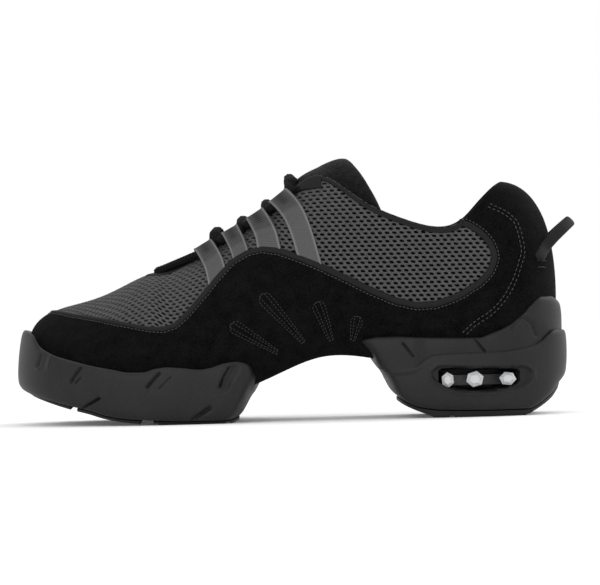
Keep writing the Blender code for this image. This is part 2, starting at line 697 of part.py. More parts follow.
def add_tube(name, rings, material, smooth=True):
    """A solid through closed rings, its two ends closed by flat faces."""
    count = len(rings[0])
    index = np.arange(count * len(rings)).reshape(len(rings), count).T
    faces = grid_faces(index, wrap=True)
    faces.append(tuple(int(i) for i in index[:, 0]))
    faces.append(tuple(int(i) for i in index[::-1, -1]))
    piece = add_piece(name, np.concatenate(rings), faces, material, smooth)
    turn_out(piece)
    return piece


def turn_out(piece):
    """Turns the faces of a closed piece outwards, if they point in."""
    mesh = piece.data
    mesh.calc_loop_triangles()
    points = np.array([v.co for v in mesh.vertices])
    corners = points[np.array([t.vertices for t in mesh.loop_triangles])]
    if np.linalg.det(corners).sum() < 0:
        mesh.flip_normals()


def smooth_path(points, count):
    """A smooth curve through the points, as count points at even steps of its parameter."""
    points = np.asarray(points, float)
    rows = np.arange(len(points))
    at = np.linspace(0, len(points) - 1, count)
    return np.stack([eased(np.stack([rows, points[:, k]], axis=1), at) for k in range(3)], axis=-1)


def sweep(path, wide, half_wide, half_thick, sides=6):
    """Rings of an oval section along a path; wide is the direction of its long axis."""
    tangent = np.gradient(path, axis=0)
    tangent /= np.linalg.norm(tangent, axis=1, keepdims=True)
    wide = np.broadcast_to(wide, path.shape)
    wide = wide - tangent * (wide * tangent).sum(1, keepdims=True)
    wide /= np.linalg.norm(wide, axis=1, keepdims=True)
    thick = np.cross(tangent, wide)
    turn = np.arange(sides) / sides * 2 * math.pi + math.pi / sides
    level, upright = np.cos(turn)[:, None] * half_wide, np.sin(turn)[:, None] * half_thick
    return [path[i] + level * wide[i] + upright * thick[i] for i in range(len(path))]


def make_insole(material):
    """A sole-shaped sheet on the lasting margin, thicker where the upper is open below."""
    u = upper_columns()[::2]
    n = len(u)
    foot, out = feather(u), outwards(u)
    up = np.array([0.0, 0.0, 1.0])
    edge = foot - out * (1.15 * UPPER_WALL + INSOLE_CLEAR) + up * (UPPER_WALL + INSOLE_CLEAR)
    plug_edge = foot - out * (LASTING_MARGIN + INSOLE_CLEAR) + up * (UPPER_WALL + INSOLE_CLEAR)
    closed = (half_way(u) > ARCH_REAR - 0.5) & (half_way(u) < ARCH_FRONT + 0.5)
    sink = np.where(closed, 0.0, UPPER_WALL + INSOLE_CLEAR)[:, None]
    plug = foot - out * (LASTING_MARGIN + 2 * INSOLE_CLEAR) + up * (UPPER_WALL + INSOLE_CLEAR - sink)
    mirror = (-np.arange(n)) % n
    below = np.stack([edge, plug_edge, plug, (plug + plug[mirror]) / 2], axis=1)
    above = below.copy()
    above[:, :, 2] = (foot[:, 2] + UPPER_WALL + INSOLE_CLEAR + INSOLE_THICKNESS)[:, None]
    above[:, 3] = (above[:, 2] + above[mirror, 2]) / 2
    index = np.arange(n * 4).reshape(n, 4)
    index[:, 3] = np.where(np.arange(n) > n // 2, index[mirror, 3], index[:, 3])
    index[0, 3], index[n // 2, 3] = index[0, 2], index[n // 2, 2]
    faces = grid_faces(index, wrap=True)
    (above, below), faces = compact([above.reshape(-1, 3), below.reshape(-1, 3)], faces)
    turn_out(add_wall("insole", above, below, faces, material))


def bridge(u, q):
    """The last's skin over the throat: q runs from the outer edge, -1, to the inner edge, 1."""
    other = 2 * LAST_ROW - u
    left, right = top_line(u), top_line(other)
    gap = np.linalg.norm(right - left, axis=-1, keepdims=True)
    pull = eased(THROAT_ARCH, half_way(u))[..., None] * gap
    t = (np.asarray(q, float)[..., None] + 1) / 2
    low, high = left + top_heading(u) * pull, right + top_heading(other) * pull
    near, far = 3 * (1 - t) ** 2 * t, 3 * (1 - t) * t**2
    return (1 - t) ** 3 * left + near * low + far * high + t**3 * right


def bridge_lift(u, q, lift):
    along = bridge(u + 0.02, q) - bridge(u - 0.02, q)
    across = bridge(u, np.clip(q + 0.02, -1, 1)) - bridge(u, np.clip(q - 0.02, -1, 1))
    normal = np.cross(across, along)
    normal /= np.linalg.norm(normal, axis=-1, keepdims=True)
    return bridge(u, q) + normal * lift


def make_tongue(material):
    """A padded sheet under the throat that wraps round to wings inside the collar."""
    stations = np.linspace(0, 1, 14)[:, None]
    across = np.linspace(-1, 1, 7)[None]
    top = TONGUE_TOP + (TONGUE_WINGS - TONGUE_TOP) * np.abs(across) ** TONGUE_TOP_ROUNDING
    middle_u = TONGUE_BASE + (top - TONGUE_BASE) * stations
    middle_q = np.broadcast_to(across, middle_u.shape)
    edge_u = middle_u[:, 0]
    layers = []
    for depth in (TONGUE_DEPTH, TONGUE_DEPTH + TONGUE_THICKNESS):
        tucked = [below_top(edge_u, TONGUE_OVERLAP), below_top(edge_u, TONGUE_OVERLAP / 2)]
        outer = [skin(edge_u, v, np.full(len(edge_u), -depth)) for v in tucked]
        inner = [skin(2 * LAST_ROW - edge_u, v, np.full(len(edge_u), -depth)) for v in tucked]
        middle = bridge_lift(middle_u, middle_q, -depth)
        sides = [edge[:, None] for edge in (*outer, *inner[::-1])]
        layers.append(np.concatenate([*sides[:2], middle, *sides[2:]], axis=1))
    index = np.arange(layers[0].shape[0] * layers[0].shape[1]).reshape(layers[0].shape[:2])
    faces = grid_faces(index)
    outer, inner = (layer.reshape(-1, 3) for layer in layers)
    turn_out(add_wall("tongue", outer, inner, faces, material))


def make_edging(name, u, depth, material):
    """A strip on the upper, from the top line down to this depth, at the stations u."""
    low = below_top(u, depth)
    v = np.stack([low, (low + 1) / 2, np.ones(len(u))], axis=1)
    grid_u = np.repeat(u[:, None], v.shape[1], 1)
    outer = skin(grid_u, v, np.full(v.shape, FIT + TAB_THICKNESS))
    inner = skin(grid_u, v, np.full(v.shape, FIT))
    faces = grid_faces(np.arange(v.size).reshape(v.shape))
    turn_out(add_wall(name, outer.reshape(-1, 3), inner.reshape(-1, 3), faces, material))


def make_trims(material):
    """The collar bands and the top eyestay tabs of both sides."""
    band = np.append(np.arange(BAND_END, COLLAR_CORNER, 1 / COLUMNS_PER_ROW), COLLAR_CORNER)
    tab = np.linspace(*TOP_TAB, 5)
    for word, side in (("outer", 1), ("inner", -1)):
        make_edging(f"collar_band_{word}", band * side, BAND_WIDTH, material)
        make_edging(f"top_tab_{word}", tab * side, TOP_TAB_DEPTH, material)


def fold_path(length):
    """Middle of a loop's webbing: distance below the throat's edge, and height above the skin."""
    base = LOOP_LIFT + LOOP_WEBBING / 2
    doubled = base + LOOP_WEBBING + FIT
    tall = LOOP_TUBE + LOOP_WEBBING / 2 - 0.0005
    centre = (LOOP_TUBE_LONG - 0.0022, base + tall)
    turn = np.radians(np.linspace(50, 270, 9))
    curl = np.stack([centre[0] + LOOP_TUBE_LONG * np.cos(turn), centre[1] + tall * np.sin(turn)], axis=1)
    flat = [(d, base) for d in np.linspace(length, LOOP_FOLD + 0.003, 4)]
    start = flat + [(LOOP_FOLD + 0.0012, base + 0.0006), (LOOP_FOLD - 0.0006, doubled)]
    end = [(LOOP_FOLD * 0.6, base), (LOOP_FOLD - 0.0008, base)]
    return np.concatenate([start, curl, end])


def loop_edge(top_u, foot_u, foot_v, lift):
    """One long edge of a loop's webbing, lift above the webbing's middle."""
    whole = np.linalg.norm(profile(foot_u, foot_v) - profile(top_u, 1.0))
    path = fold_path(whole - LOOP_END_GAP)
    heading = np.gradient(path, axis=0)
    heading /= np.linalg.norm(heading, axis=1, keepdims=True)
    line = path + np.stack([-heading[:, 1], heading[:, 0]], axis=1) * lift
    share = np.clip(line[:, 0] / whole, 0, None)
    u = top_u + (foot_u - top_u) * share
    v = 1 + (foot_v - 1) * share
    over = np.clip(-line[:, 0], 0, None)[:, None]
    return skin(u, v, line[:, 1]) + top_heading(u) * over


def suede_station(along, side):
    """u and v on the upper edge of the suede wrap at this share of the length."""
    u = np.linspace(5, 12, 200)
    v = suede_share(u)
    reached = to_along(profile(u, v)[:, 0])
    found = float(np.interp(along, reached, u))
    return found * side, float(np.interp(found, u, v))


def make_loops(material):
    for word, side in (("outer", 1), ("inner", -1)):
        for number, (front, rear, foot_front, foot_rear) in enumerate(LOOPS, 1):
            front_u, rear_u = (station(along, top_line) * side for along in (front, rear))
            (low_front_u, low_front_v), (low_rear_u, low_rear_v) = (
                suede_station(along, side) for along in (foot_front, foot_rear)
            )
            front_edge = np.array([front_u, low_front_u, low_front_v])
            rear_edge = np.array([rear_u, low_rear_u, low_rear_v])
            edges = (front_edge, (front_edge + rear_edge) / 2, rear_edge)
            layers = []
            for lift in (LOOP_WEBBING / 2, -LOOP_WEBBING / 2):
                grid = [loop_edge(*edge, lift) for edge in edges]
                layers.append(np.stack(grid, axis=1).reshape(-1, 3))
            index = np.arange(len(layers[0])).reshape(-1, len(edges))
            turn_out(add_wall(f"lace_loop_{word}_{number}", *layers, grid_faces(index), material))


def make_laces(material):
    """Two strands that cross over the tongue between the loops, and the bar in front, joined."""
    radius = LACE_DIAMETER / 2
    stations = [station(along, top_line) for along in LACE_TURNS]
    rise = radius + LACE_CLEAR - TONGUE_DEPTH
    strands = []
    for first in (-1, 1):
        points = []
        for number, u in enumerate(stations):
            side = first if number % 2 == 0 else -first
            height = rise + (LACE_FRONT_RISE if number == 0 else 0)
            points.append(bridge_lift(np.array(u), np.array(side * LACE_TURN), height))
            if number + 1 < len(stations):
                middle = (u + stations[number + 1]) / 2
                points.append(bridge_lift(np.array(middle), np.array(0.0), rise))
        strands.append(smooth_path(points, 29))
    bar_u = stations[0]
    bar_ends = (-LACE_TURN, 0.0, LACE_TURN)
    bar = [bridge_lift(np.array(bar_u), np.array(q), rise + LACE_FRONT_RISE) for q in bar_ends]
    strands.append(smooth_path(bar, 5))
    pieces = []
    for name, path in zip(("laces", "second_strand", "front_bar"), strands):
        up = np.array([-0.5, 0.0, 1.0])
        pieces.append(add_tube(name, sweep(path, up, radius, radius), material))
    for other in pieces[1:]:
        cut(pieces[0], make_guide(other), "UNION")


def make_pull_loop(material):
    """A moulded loop from one side of the heel to the other."""
    lift = SUEDE_STEP + FIT + PULL_LOOP_THICKNESS / 2
    points = []
    for u, up in ((0.92, 0.655), (0.66, 0.705)):
        v = np.linspace(0.2, 0.95, 200)
        heights = profile(np.full(len(v), u), v)[:, 2]
        points.append(skin(np.array(u), np.array(np.interp(up * HEEL_HEIGHT, heights, v)), lift))
    back = profile(np.array(0.0), 0.62)[0]
    points.append(np.array([back + PULL_LOOP_REACH * 0.28, points[1][1] * 0.90, 0.752 * HEEL_HEIGHT]))
    points.append(np.array([back + PULL_LOOP_REACH * 0.80, points[1][1] * 0.62, 0.800 * HEEL_HEIGHT]))
    tip = np.array([back + PULL_LOOP_REACH, 0.0, 0.818 * HEEL_HEIGHT])
    mirrored = [p * np.array([1, -1, 1]) for p in reversed(points)]
    path = smooth_path(points + [tip] + mirrored, 21)
    heading = tip - points[1]
    across = np.array([-heading[2], 0.0, heading[0]])
    rings = sweep(path, across, PULL_LOOP_WIDTH / 2, PULL_LOOP_THICKNESS / 2)
    add_tube("pull_loop", rings, material)


def main():
    for old in list(bpy.data.objects):
        bpy.data.objects.remove(old, do_unlink=True)
    suede = new_material("suede and mesh", (0.006, 0.006, 0.006), 0.95)
    rubber = new_material("midsole rubber", (0.045, 0.045, 0.045), 0.55)
    tread = new_material("tread rubber", (0.018, 0.018, 0.018), 0.7)
    padding = new_material("tongue cloth", (0.012, 0.012, 0.012), 0.95)
    trim = new_material("trim", (0.028, 0.028, 0.028), 0.7)
    webbing = new_material("webbing", (0.10, 0.10, 0.10), 0.7)
    lace = new_material("lace", (0.005, 0.005, 0.005), 0.8)
    clear = new_material("clear plastic", (0.85, 0.85, 0.85), 0.1)
    make_upper(suede)
    cutter = make_last_cutter()
    make_forefoot_unit(cutter, rubber)
    heel = make_heel_unit(cutter, rubber)
    make_treads(tread)
    for word, side in (("outer", -1), ("inner", 1)):
        make_window(heel, side, word, rubber, clear)
    make_insole(padding)
    make_tongue(padding)
    make_trims(trim)
    make_loops(webbing)
    make_laces(lace)
    make_pull_loop(trim)


main()
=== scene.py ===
# Split-sole dance sneaker, left shoe: its looks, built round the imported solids.
# Metres, +Z up, toe towards -X, outer side towards -Y, origin on the floor under the heel.
import math

import bpy
import numpy as np
from mathutils import Matrix, Vector


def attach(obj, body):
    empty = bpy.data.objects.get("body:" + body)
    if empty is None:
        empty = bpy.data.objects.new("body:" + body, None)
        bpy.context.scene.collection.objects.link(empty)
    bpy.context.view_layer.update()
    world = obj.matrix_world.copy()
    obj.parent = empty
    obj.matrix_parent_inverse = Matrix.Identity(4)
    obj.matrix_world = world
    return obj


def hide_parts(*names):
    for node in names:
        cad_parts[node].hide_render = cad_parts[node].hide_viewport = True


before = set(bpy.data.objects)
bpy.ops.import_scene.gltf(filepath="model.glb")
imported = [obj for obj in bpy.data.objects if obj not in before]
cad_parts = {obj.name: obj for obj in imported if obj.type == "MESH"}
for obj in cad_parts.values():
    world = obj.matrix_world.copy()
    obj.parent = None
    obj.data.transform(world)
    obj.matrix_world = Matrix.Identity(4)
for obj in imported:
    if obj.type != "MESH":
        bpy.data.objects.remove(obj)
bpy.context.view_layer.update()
rng = np.random.default_rng(7)

shoe = {
    "soleLength": 0.268, "ballWidth": 0.084, "heelHeight": 0.1128, "instepHeight": 0.1185,
    "seatHeight": 0.027, "lipHeight": 0.0575, "toeSwing": 0.009, "flatMiddle": 0.1625,
    "wall": 0.0018, "suedeStep": 0.0009, "rows": 14, "corner": 6, "ridge": 11,
}
sections = {
    "footAlong": [
        0.033, 0.057, 0.122, 0.213, 0.306, 0.377, 0.448, 0.522,
        0.601, 0.683, 0.761, 0.828, 0.887, 0.939, 0.968,
    ],
    "footOuter": [
        0, 0.198, 0.318, 0.349, 0.331, 0.320, 0.337, 0.390,
        0.451, 0.494, 0.500, 0.470, 0.402, 0.262, 0,
    ],
    "footInner": [
        0, 0.198, 0.314, 0.337, 0.291, 0.262, 0.262, 0.320,
        0.419, 0.494, 0.512, 0.492, 0.430, 0.280, 0,
    ],
    "footUp": [
        1, 0.985, 0.963, 0.963, 1.011, 1.130, 1.137, 0.874,
        0.574, 0.456, 0.474, 0.556, 0.711, 0.889, 1,
    ],
    "topAlong": [
        0.118, 0.128, 0.160, 0.215, 0.306, 0.377, 0.442, 0.500,
        0.567, 0.642, 0.716, 0.761, 0.828, 0.881, 0.903,
    ],
    "topOut": [0, 0.134, 0.244, 0.305, 0.335, 0.300, 0.238, 0.198, 0.174, 0.145, 0.099, 0, 0, 0, 0],
    "topUp": [
        1, 0.985, 0.909, 0.819, 0.869, 0.957, 1, 0.930,
        0.814, 0.715, 0.622, 0.605, 0.537, 0.497, 0.485,
    ],
    "footLean": [10, 10, 11, 13, 22, 30, 34, 30, 22, 18, 16, 16, 18, 20, 20],
    "topLean": [72, 60, 22, 10, 8, 18, 36, 54, 60, 66, 76, 90, 90, 90, 90],
    "footPull": [0.415, 0.41, 0.40, 0.35, 0.35, 0.33, 0.32, 0.30, 0.30, 0.28, 0.28, 0.30, 0.32, 0.37, 0.42],
    "topPull": [0.315, 0.305, 0.30, 0.30, 0.30, 0.30, 0.30, 0.30, 0.28, 0.25, 0.25, 0.28, 0.32, 0.42, 0.62],
}
suedeEdge = np.array([
    (0.120, 0.800), (0.128, 0.640), (0.155, 0.538), (0.193, 0.487), (0.238, 0.451), (0.275, 0.448),
    (0.311, 0.468), (0.356, 0.512), (0.401, 0.564), (0.447, 0.616), (0.482, 0.651), (0.519, 0.682),
    (0.550, 0.692), (0.574, 0.681), (0.602, 0.646), (0.629, 0.581), (0.657, 0.508), (0.686, 0.435),
    (0.708, 0.392), (0.732, 0.376), (0.759, 0.380), (0.805, 0.401), (0.850, 0.422), (0.896, 0.439),
    (0.930, 0.455),
])


# Curves

# A cubic through the rows of a two-column table whose slopes are harmonic means, so it never overshoots.
def eased(rows, at):
    table = np.asarray(rows, float)
    x, y = table[:, 0], table[:, 1]
    step = np.diff(x)
    slope = np.diff(y) / step
    sameWay = slope[1:] * slope[:-1] > 0
    total = np.where(sameWay, slope[1:] + slope[:-1], 1.0)
    inner = np.where(sameWay, 2 * slope[1:] * slope[:-1] / total, 0.0)
    tangent = np.concatenate([slope[:1], inner, slope[-1:]])
    at = np.clip(np.asarray(at, float), x[0], x[-1])
    i = np.clip(np.searchsorted(x, at, side="right") - 1, 0, len(x) - 2)
    t = (at - x[i]) / step[i]
    return (
        (2 * t**3 - 3 * t**2 + 1) * y[i] + (t**3 - 2 * t**2 + t) * step[i] * tangent[i]
        + (3 * t**2 - 2 * t**3) * y[i + 1] + (t**3 - t**2) * step[i] * tangent[i + 1]
    )


# A periodic cubic spline through values at 0, 1, 2 ..., its second derivatives from one linear system.
def closedSpline(values, at):
    values = np.asarray(values, float)
    n = len(values)
    matrix = 4 * np.eye(n) + np.roll(np.eye(n), 1, axis=0) + np.roll(np.eye(n), -1, axis=0)
    bend = np.linalg.solve(matrix, 6 * (np.roll(values, -1) - 2 * values + np.roll(values, 1)))
    at = np.mod(at, n)
    i = np.floor(at).astype(int) % n
    k = (i + 1) % n
    t = at - np.floor(at)
    return (
        (1 - t) * values[i] + t * values[k]
        + ((1 - t) ** 3 - (1 - t)) * bend[i] / 6 + (t**3 - t) * bend[k] / 6
    )


# Summed length of a path up to each of its points.
def reached(points):
    return np.concatenate([[0], np.cumsum(np.linalg.norm(np.diff(points, axis=0), axis=1))])


# A smooth curve through points, at even steps of its parameter: a monotone cubic for each coordinate.
def smoothPath(points, count):
    points = np.asarray(points, float)
    rows = np.arange(len(points))
    at = np.linspace(0, len(points) - 1, count)
    return np.stack([eased(np.stack([rows, column], axis=1), at) for column in points.T], axis=-1)


# Points at even distances along a path: linear interpolation over the summed length.
def evenPath(points, count):
    points = np.asarray(points, float)
    length = reached(points)
    at = np.linspace(0, length[-1], count)
    return np.stack([np.interp(at, length, points[:, k]) for k in range(points.shape[1])], axis=-1)


# Cuts each corner of an open polygon at a quarter and three quarters of its sides, so it rounds off.
def cornersCut(points, times):
    points = np.asarray(points, float)
    for _ in range(times):
        a, b = points[:-1], points[1:]
        mixed = np.stack([0.75 * a + 0.25 * b, 0.25 * a + 0.75 * b], axis=1).reshape(-1, points.shape[1])
        points = np.concatenate([points[:1], mixed[1:-1], points[-1:]])
    return points


# 0 below low, 1 above high, and 3t^2 - 2t^3 between them.
def smoothStep(low, high, at):
    t = np.clip((at - low) / (high - low), 0, 1)
    return t * t * (3 - 2 * t)


# Vectors over their own lengths.
def unit(vectors):
    return vectors / np.maximum(np.linalg.norm(vectors, axis=-1, keepdims=True), 1e-12)


# A bell that is 1 at 0 and 1/e at the given half width.
def bell(at, half):
    return np.exp(-((at / half) ** 2))


# The last: u runs round the shoe in rows of the section table, v from feather edge to top line

# A column of the table for both sides: its rows forwards, then backwards without the two ends.
def wholeRound(name):
    rows = sections[name]
    return np.array(rows + rows[shoe["rows"] - 1:0:-1], float)


# u of the same place on the other side. Sides are 1 outer and -1 inner.
def across(u):
    return 2 * shoe["rows"] - u


# u of a place given on the outer side, on the side wanted.
def onSide(u, side):
    return u if side > 0 else across(u)


# u folded onto the outer side.
def halfWay(u):
    u = np.mod(u, 2 * shoe["rows"])
    return np.minimum(u, across(u))


# A column of the table as an eased curve of the folded u.
def rowCurve(name, u):
    return eased(np.stack([np.arange(len(sections[name])), sections[name]], axis=1), halfWay(u))


# Share of the sole's length, from the heel's back, to x.
def toX(along):
    return (shoe["flatMiddle"] - np.asarray(along, float)) * shoe["soleLength"]


# The same backwards.
def toAlong(x):
    return shoe["flatMiddle"] - np.asarray(x, float) / shoe["soleLength"]


# The centre line swings in at the toe, by the square of the share past 0.4.
def centreLine(along):
    return shoe["toeSwing"] * np.clip((np.asarray(along, float) - 0.4) / 0.6, 0, None) ** 2


# Feather edge: three periodic splines, for the length, the half width of each side, and the height.
def featherEdge(u):
    n = 2 * shoe["rows"]
    along = closedSpline(wholeRound("footAlong"), u)
    width = np.where(np.arange(n) <= shoe["rows"], -wholeRound("footOuter"), wholeRound("footInner"))
    out = closedSpline(width, u) * shoe["ballWidth"]
    up = closedSpline(wholeRound("footUp"), u) * shoe["seatHeight"]
    return np.stack([toX(along), centreLine(along) + out, up], axis=-1)


# The level normal of the feather edge, out of the shoe.
def outward(u):
    ahead = featherEdge(u + 0.02) - featherEdge(u - 0.02)
    return unit(np.stack([-ahead[..., 1], ahead[..., 0], np.zeros(np.shape(u))], axis=-1))


# Collar, throat edge and vamp ridge: splines for length and height, an eased curve for the width.
def topLine(u):
    along = closedSpline(wholeRound("topAlong"), u)
    front = shoe["rows"] + 1 - shoe["corner"]
    heights = np.array([shoe["heelHeight"]] * shoe["corner"] + [shoe["instepHeight"]] * front)
    heights = np.concatenate([heights, heights[shoe["rows"] - 1:0:-1]])
    up = closedSpline(wholeRound("topUp") * heights, u)
    side = np.where(np.mod(u, 2 * shoe["rows"]) <= shoe["rows"], -1.0, 1.0)
    out = side * rowCurve("topOut", u) * shoe["ballWidth"]
    return np.stack([toX(along), centreLine(along) + out, up], axis=-1)


# Rise over run of the top line, from a difference to both sides, held along the ridge.
def ridgeSlope(u):
    near = np.clip(halfWay(u), shoe["ridge"], shoe["rows"] - 0.3)
    ahead = topLine(near + 0.1) - topLine(near - 0.1)
    return ahead[..., 2] / ahead[..., 0]


# Direction in which the profile reaches the top line: up, leant in by an angle and up the ridge.
def topHeading(u):
    lean = np.radians(rowCurve("topLean", u))[..., None]
    out = outward(u)
    level = -out
    level[..., 2] = -out[..., 0] * ridgeSlope(u) * np.sin(lean[..., 0])
    return np.cos(lean) * np.array([0.0, 0.0, 1.0]) + np.sin(lean) * level


# A cubic Bezier from the feather edge to the top line, leaning out below and in above.
def profile(u, v):
    u, v = np.broadcast_arrays(np.asarray(u, float), np.asarray(v, float))
    foot, top = featherEdge(u), topLine(u)
    span = np.linalg.norm(top - foot, axis=-1, keepdims=True)
    lean = np.radians(rowCurve("footLean", u))[..., None]
    leave = np.cos(lean) * np.array([0.0, 0.0, 1.0]) + np.sin(lean) * outward(u)
    low = foot + leave * span * rowCurve("footPull", u)[..., None]
    high = top - topHeading(u) * span * rowCurve("topPull", u)[..., None]
    v = v[..., None]
    return (1 - v) ** 3 * foot + 3 * (1 - v) ** 2 * v * low + 3 * (1 - v) * v**2 * high + v**3 * top


# The last's normal: the cross product of differences in v and u.
def facing(u, v):
    v = np.clip(v, 0.01, 0.985)
    along = profile(u + 0.02, v) - profile(u - 0.02, v)
    upwards = profile(u, v + 0.01) - profile(u, v - 0.01)
    return unit(np.cross(upwards, along))


# A place on the last plus its normal times a lift.
def skin(u, v, lift):
    u, v, lift = np.broadcast_arrays(np.asarray(u, float), np.asarray(v, float), np.asarray(lift, float))
    return profile(u, v) + facing(u, v) * lift[..., None]


# The last over the throat: q runs from the outer edge, -1, to the inner edge, 1, on a Bezier arch.
def bridge(u, q):
    u, q = np.broadcast_arrays(np.asarray(u, float), np.asarray(q, float))
    other = across(u)
    left, right = topLine(u), topLine(other)
    gap = np.linalg.norm(right - left, axis=-1, keepdims=True)
    pull = eased(((0, 0.56), (5.2, 0.54), (6, 0.43), (8, 0.25), (14, 0.18)), halfWay(u))[..., None] * gap
    t = (q[..., None] + 1) / 2
    low, high = left + topHeading(u) * pull, right + topHeading(other) * pull
    return (1 - t) ** 3 * left + 3 * (1 - t) ** 2 * t * low + 3 * (1 - t) * t**2 * high + t**3 * right


# The same for the arch over the throat.
def bridgeSkin(u, q, lift):
    u, q, lift = np.broadcast_arrays(np.asarray(u, float), np.asarray(q, float), np.asarray(lift, float))
    along = bridge(u + 0.02, q) - bridge(u - 0.02, q)
    sideways = bridge(u, np.clip(q + 0.02, -1, 1)) - bridge(u, np.clip(q - 0.02, -1, 1))
    return bridge(u, q) + unit(np.cross(sideways, along)) * lift[..., None]


# Station on the outer side at which feather edge or top line reaches a share of the length.
def stationAt(along, line):
    u = np.linspace(0, shoe["rows"], 1400)
    return np.interp(along, toAlong(line(u)[..., 0]), u)


# v at a distance down the profile from the top line: the summed length read backwards.
def belowTop(u, distance):
    u = np.atleast_1d(np.asarray(u, float))
    distance = np.broadcast_to(np.asarray(distance, float), u.shape)
    v = np.linspace(1, 0, 161)
    places = profile(u[:, None], v[None])
    return np.array([np.interp(d, reached(row), v) for d, row in zip(distance, places)])


# v of the suede's upper edge: where the profile, seen from the side, first rises over the edge's line.
def suedeTop(u):
    u = np.atleast_1d(np.asarray(u, float))
    v = np.linspace(0, 1, 301)
    places = profile(u[:, None], v[None])
    edge = np.interp(toAlong(places[..., 0]), suedeEdge[:, 0], suedeEdge[:, 1]) * shoe["instepHeight"]
    over = places[..., 2] - edge
    first = np.clip(np.argmax(over > 0, axis=1), 1, len(v) - 1)
    row = np.arange(len(u))
    before, after = over[row, first - 1], over[row, first]
    share = np.clip(-before / np.where(after == before, 1, after - before), 0, 1)
    found = np.where(over.max(axis=1) > 0, v[first - 1] + share * (v[1] - v[0]), 1.0)
    back = smoothStep(2.36, 2.02, halfWay(u))
    return np.clip(found * (1 - back) + 0.985 * back, 0.2, 0.985)


# (u, v) on the outer side of points seen from there, given as distance from the heel's back and height,
# both in millimetres: the nearest of a coarse grid, then Newton steps.
def placeAt(points):
    points = np.asarray(points, float) / 1000
    x, z = toX(points[:, 0] / shoe["soleLength"]), points[:, 1]
    gridU, gridV = np.meshgrid(np.linspace(0.4, 13.6, 120), np.linspace(0.02, 0.98, 50), indexing="ij")
    grid = profile(gridU, gridV).reshape(-1, 3)
    nearest = np.argmin((grid[None, :, 0] - x[:, None]) ** 2 + (grid[None, :, 2] - z[:, None]) ** 2, axis=1)
    u, v = gridU.reshape(-1)[nearest], gridV.reshape(-1)[nearest]
    for _ in range(8):
        here = profile(u, v)
        du, dv = (profile(u + 1e-4, v) - here) / 1e-4, (profile(u, v + 1e-4) - here) / 1e-4
        missX, missZ = x - here[:, 0], z - here[:, 2]
        det = du[:, 0] * dv[:, 2] - dv[:, 0] * du[:, 2]
        det = np.where(np.abs(det) < 1e-7, 1e-7, det)
        u = np.clip(u + np.clip((missX * dv[:, 2] - missZ * dv[:, 0]) / det, -0.5, 0.5), 0.02, 13.98)
        v = np.clip(v + np.clip((missZ * du[:, 0] - missX * du[:, 2]) / det, -0.1, 0.1), 0.0, 1.0)
    return u, v


# Meshes

# Quads of a grid of n by m points, closed round in either direction if wanted.
def gridQuads(n, m, wrapN=False, wrapM=False):
    i, j = np.meshgrid(np.arange(n if wrapN else n - 1), np.arange(m if wrapM else m - 1), indexing="ij")
    k, l = (i + 1) % n, (j + 1) % m
    return np.stack([i * m + j, i * m + l, k * m + l, k * m + j], axis=-1).reshape(-1, 4)


# Quads as lists, without corners that repeat the one before and without what is left of two corners.
def withoutRepeats(quads):
    kept = [[c for c, before in zip(face, face[-1:] + face[:-1]) if c != before] for face in quads.tolist()]
    return [face for face in kept if len(set(face)) > 2]


# Two layers of n by m points as one closed shell: both grids, and a rim of quads between their edges.
def shell(layers):
    n, m = layers[0].shape[:2]
    quads = gridQuads(n, m)
    edge = np.concatenate([
        np.arange(m), np.arange(2 * m - 1, n * m, m),
        np.arange(n * m - 2, n * m - m - 1, -1), np.arange(n * m - 2 * m, 0, -m),
    ])
    ahead = np.roll(edge, -1)
    rim = np.stack([edge, ahead, ahead + n * m, edge + n * m], axis=1)
    faces = np.concatenate([quads, quads[:, ::-1] + n * m, rim[:, ::-1]])
    return np.concatenate([layer.reshape(-1, 3) for layer in layers]), faces


# An attribute of one number for each point.
def setValues(piece, name, values):
    layer = piece.data.attributes.new(name, "FLOAT", "POINT")
    layer.data.foreach_set("value", np.asarray(values).ravel().astype(np.float32))


# A mesh object at the origin, smooth, with edges over an angle kept sharp if one is given.
def newMesh(name, vertices, faces, material, smooth=True, sharp=None):
    mesh = bpy.data.meshes.new(name)
    points = np.asarray(vertices, float).reshape(-1, 3).tolist()
    mesh.from_pydata(points, [], [list(map(int, face)) for face in faces])
    mesh.validate()
    if smooth:
        mesh.shade_smooth()
        if sharp:
            mesh.set_sharp_from_angle(angle=math.radians(sharp))
    piece = bpy.data.objects.new(name, mesh)
    bpy.context.scene.collection.objects.link(piece)
    if material:
        mesh.materials.append(material)
    return piece


# Puts a piece on the root body, hides the nodes that it stands for and prints its triangle count.
def shown(piece, nodes=()):
    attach(piece, "root")
    if nodes:
        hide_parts(*nodes)
    mesh = piece.data
    mesh.calc_loop_triangles()
    print(f"{piece.name}: {len(mesh.loop_triangles)} triangles", flush=True)
    return piece


# Turns a closed mesh's faces outwards if its signed volume is negative.
def turnedOut(piece):
    mesh = piece.data
    mesh.calc_loop_triangles()
    points = np.empty(len(mesh.vertices) * 3, np.float32)
    mesh.vertices.foreach_get("co", points)
    corners = np.empty(len(mesh.loop_triangles) * 3, np.int32)
    mesh.loop_triangles.foreach_get("vertices", corners)
    points = points.reshape(-1, 3).astype(float)
    if np.linalg.det(points[corners.reshape(-1, 3)]).sum() < 0:
        mesh.flip_normals()
    return piece


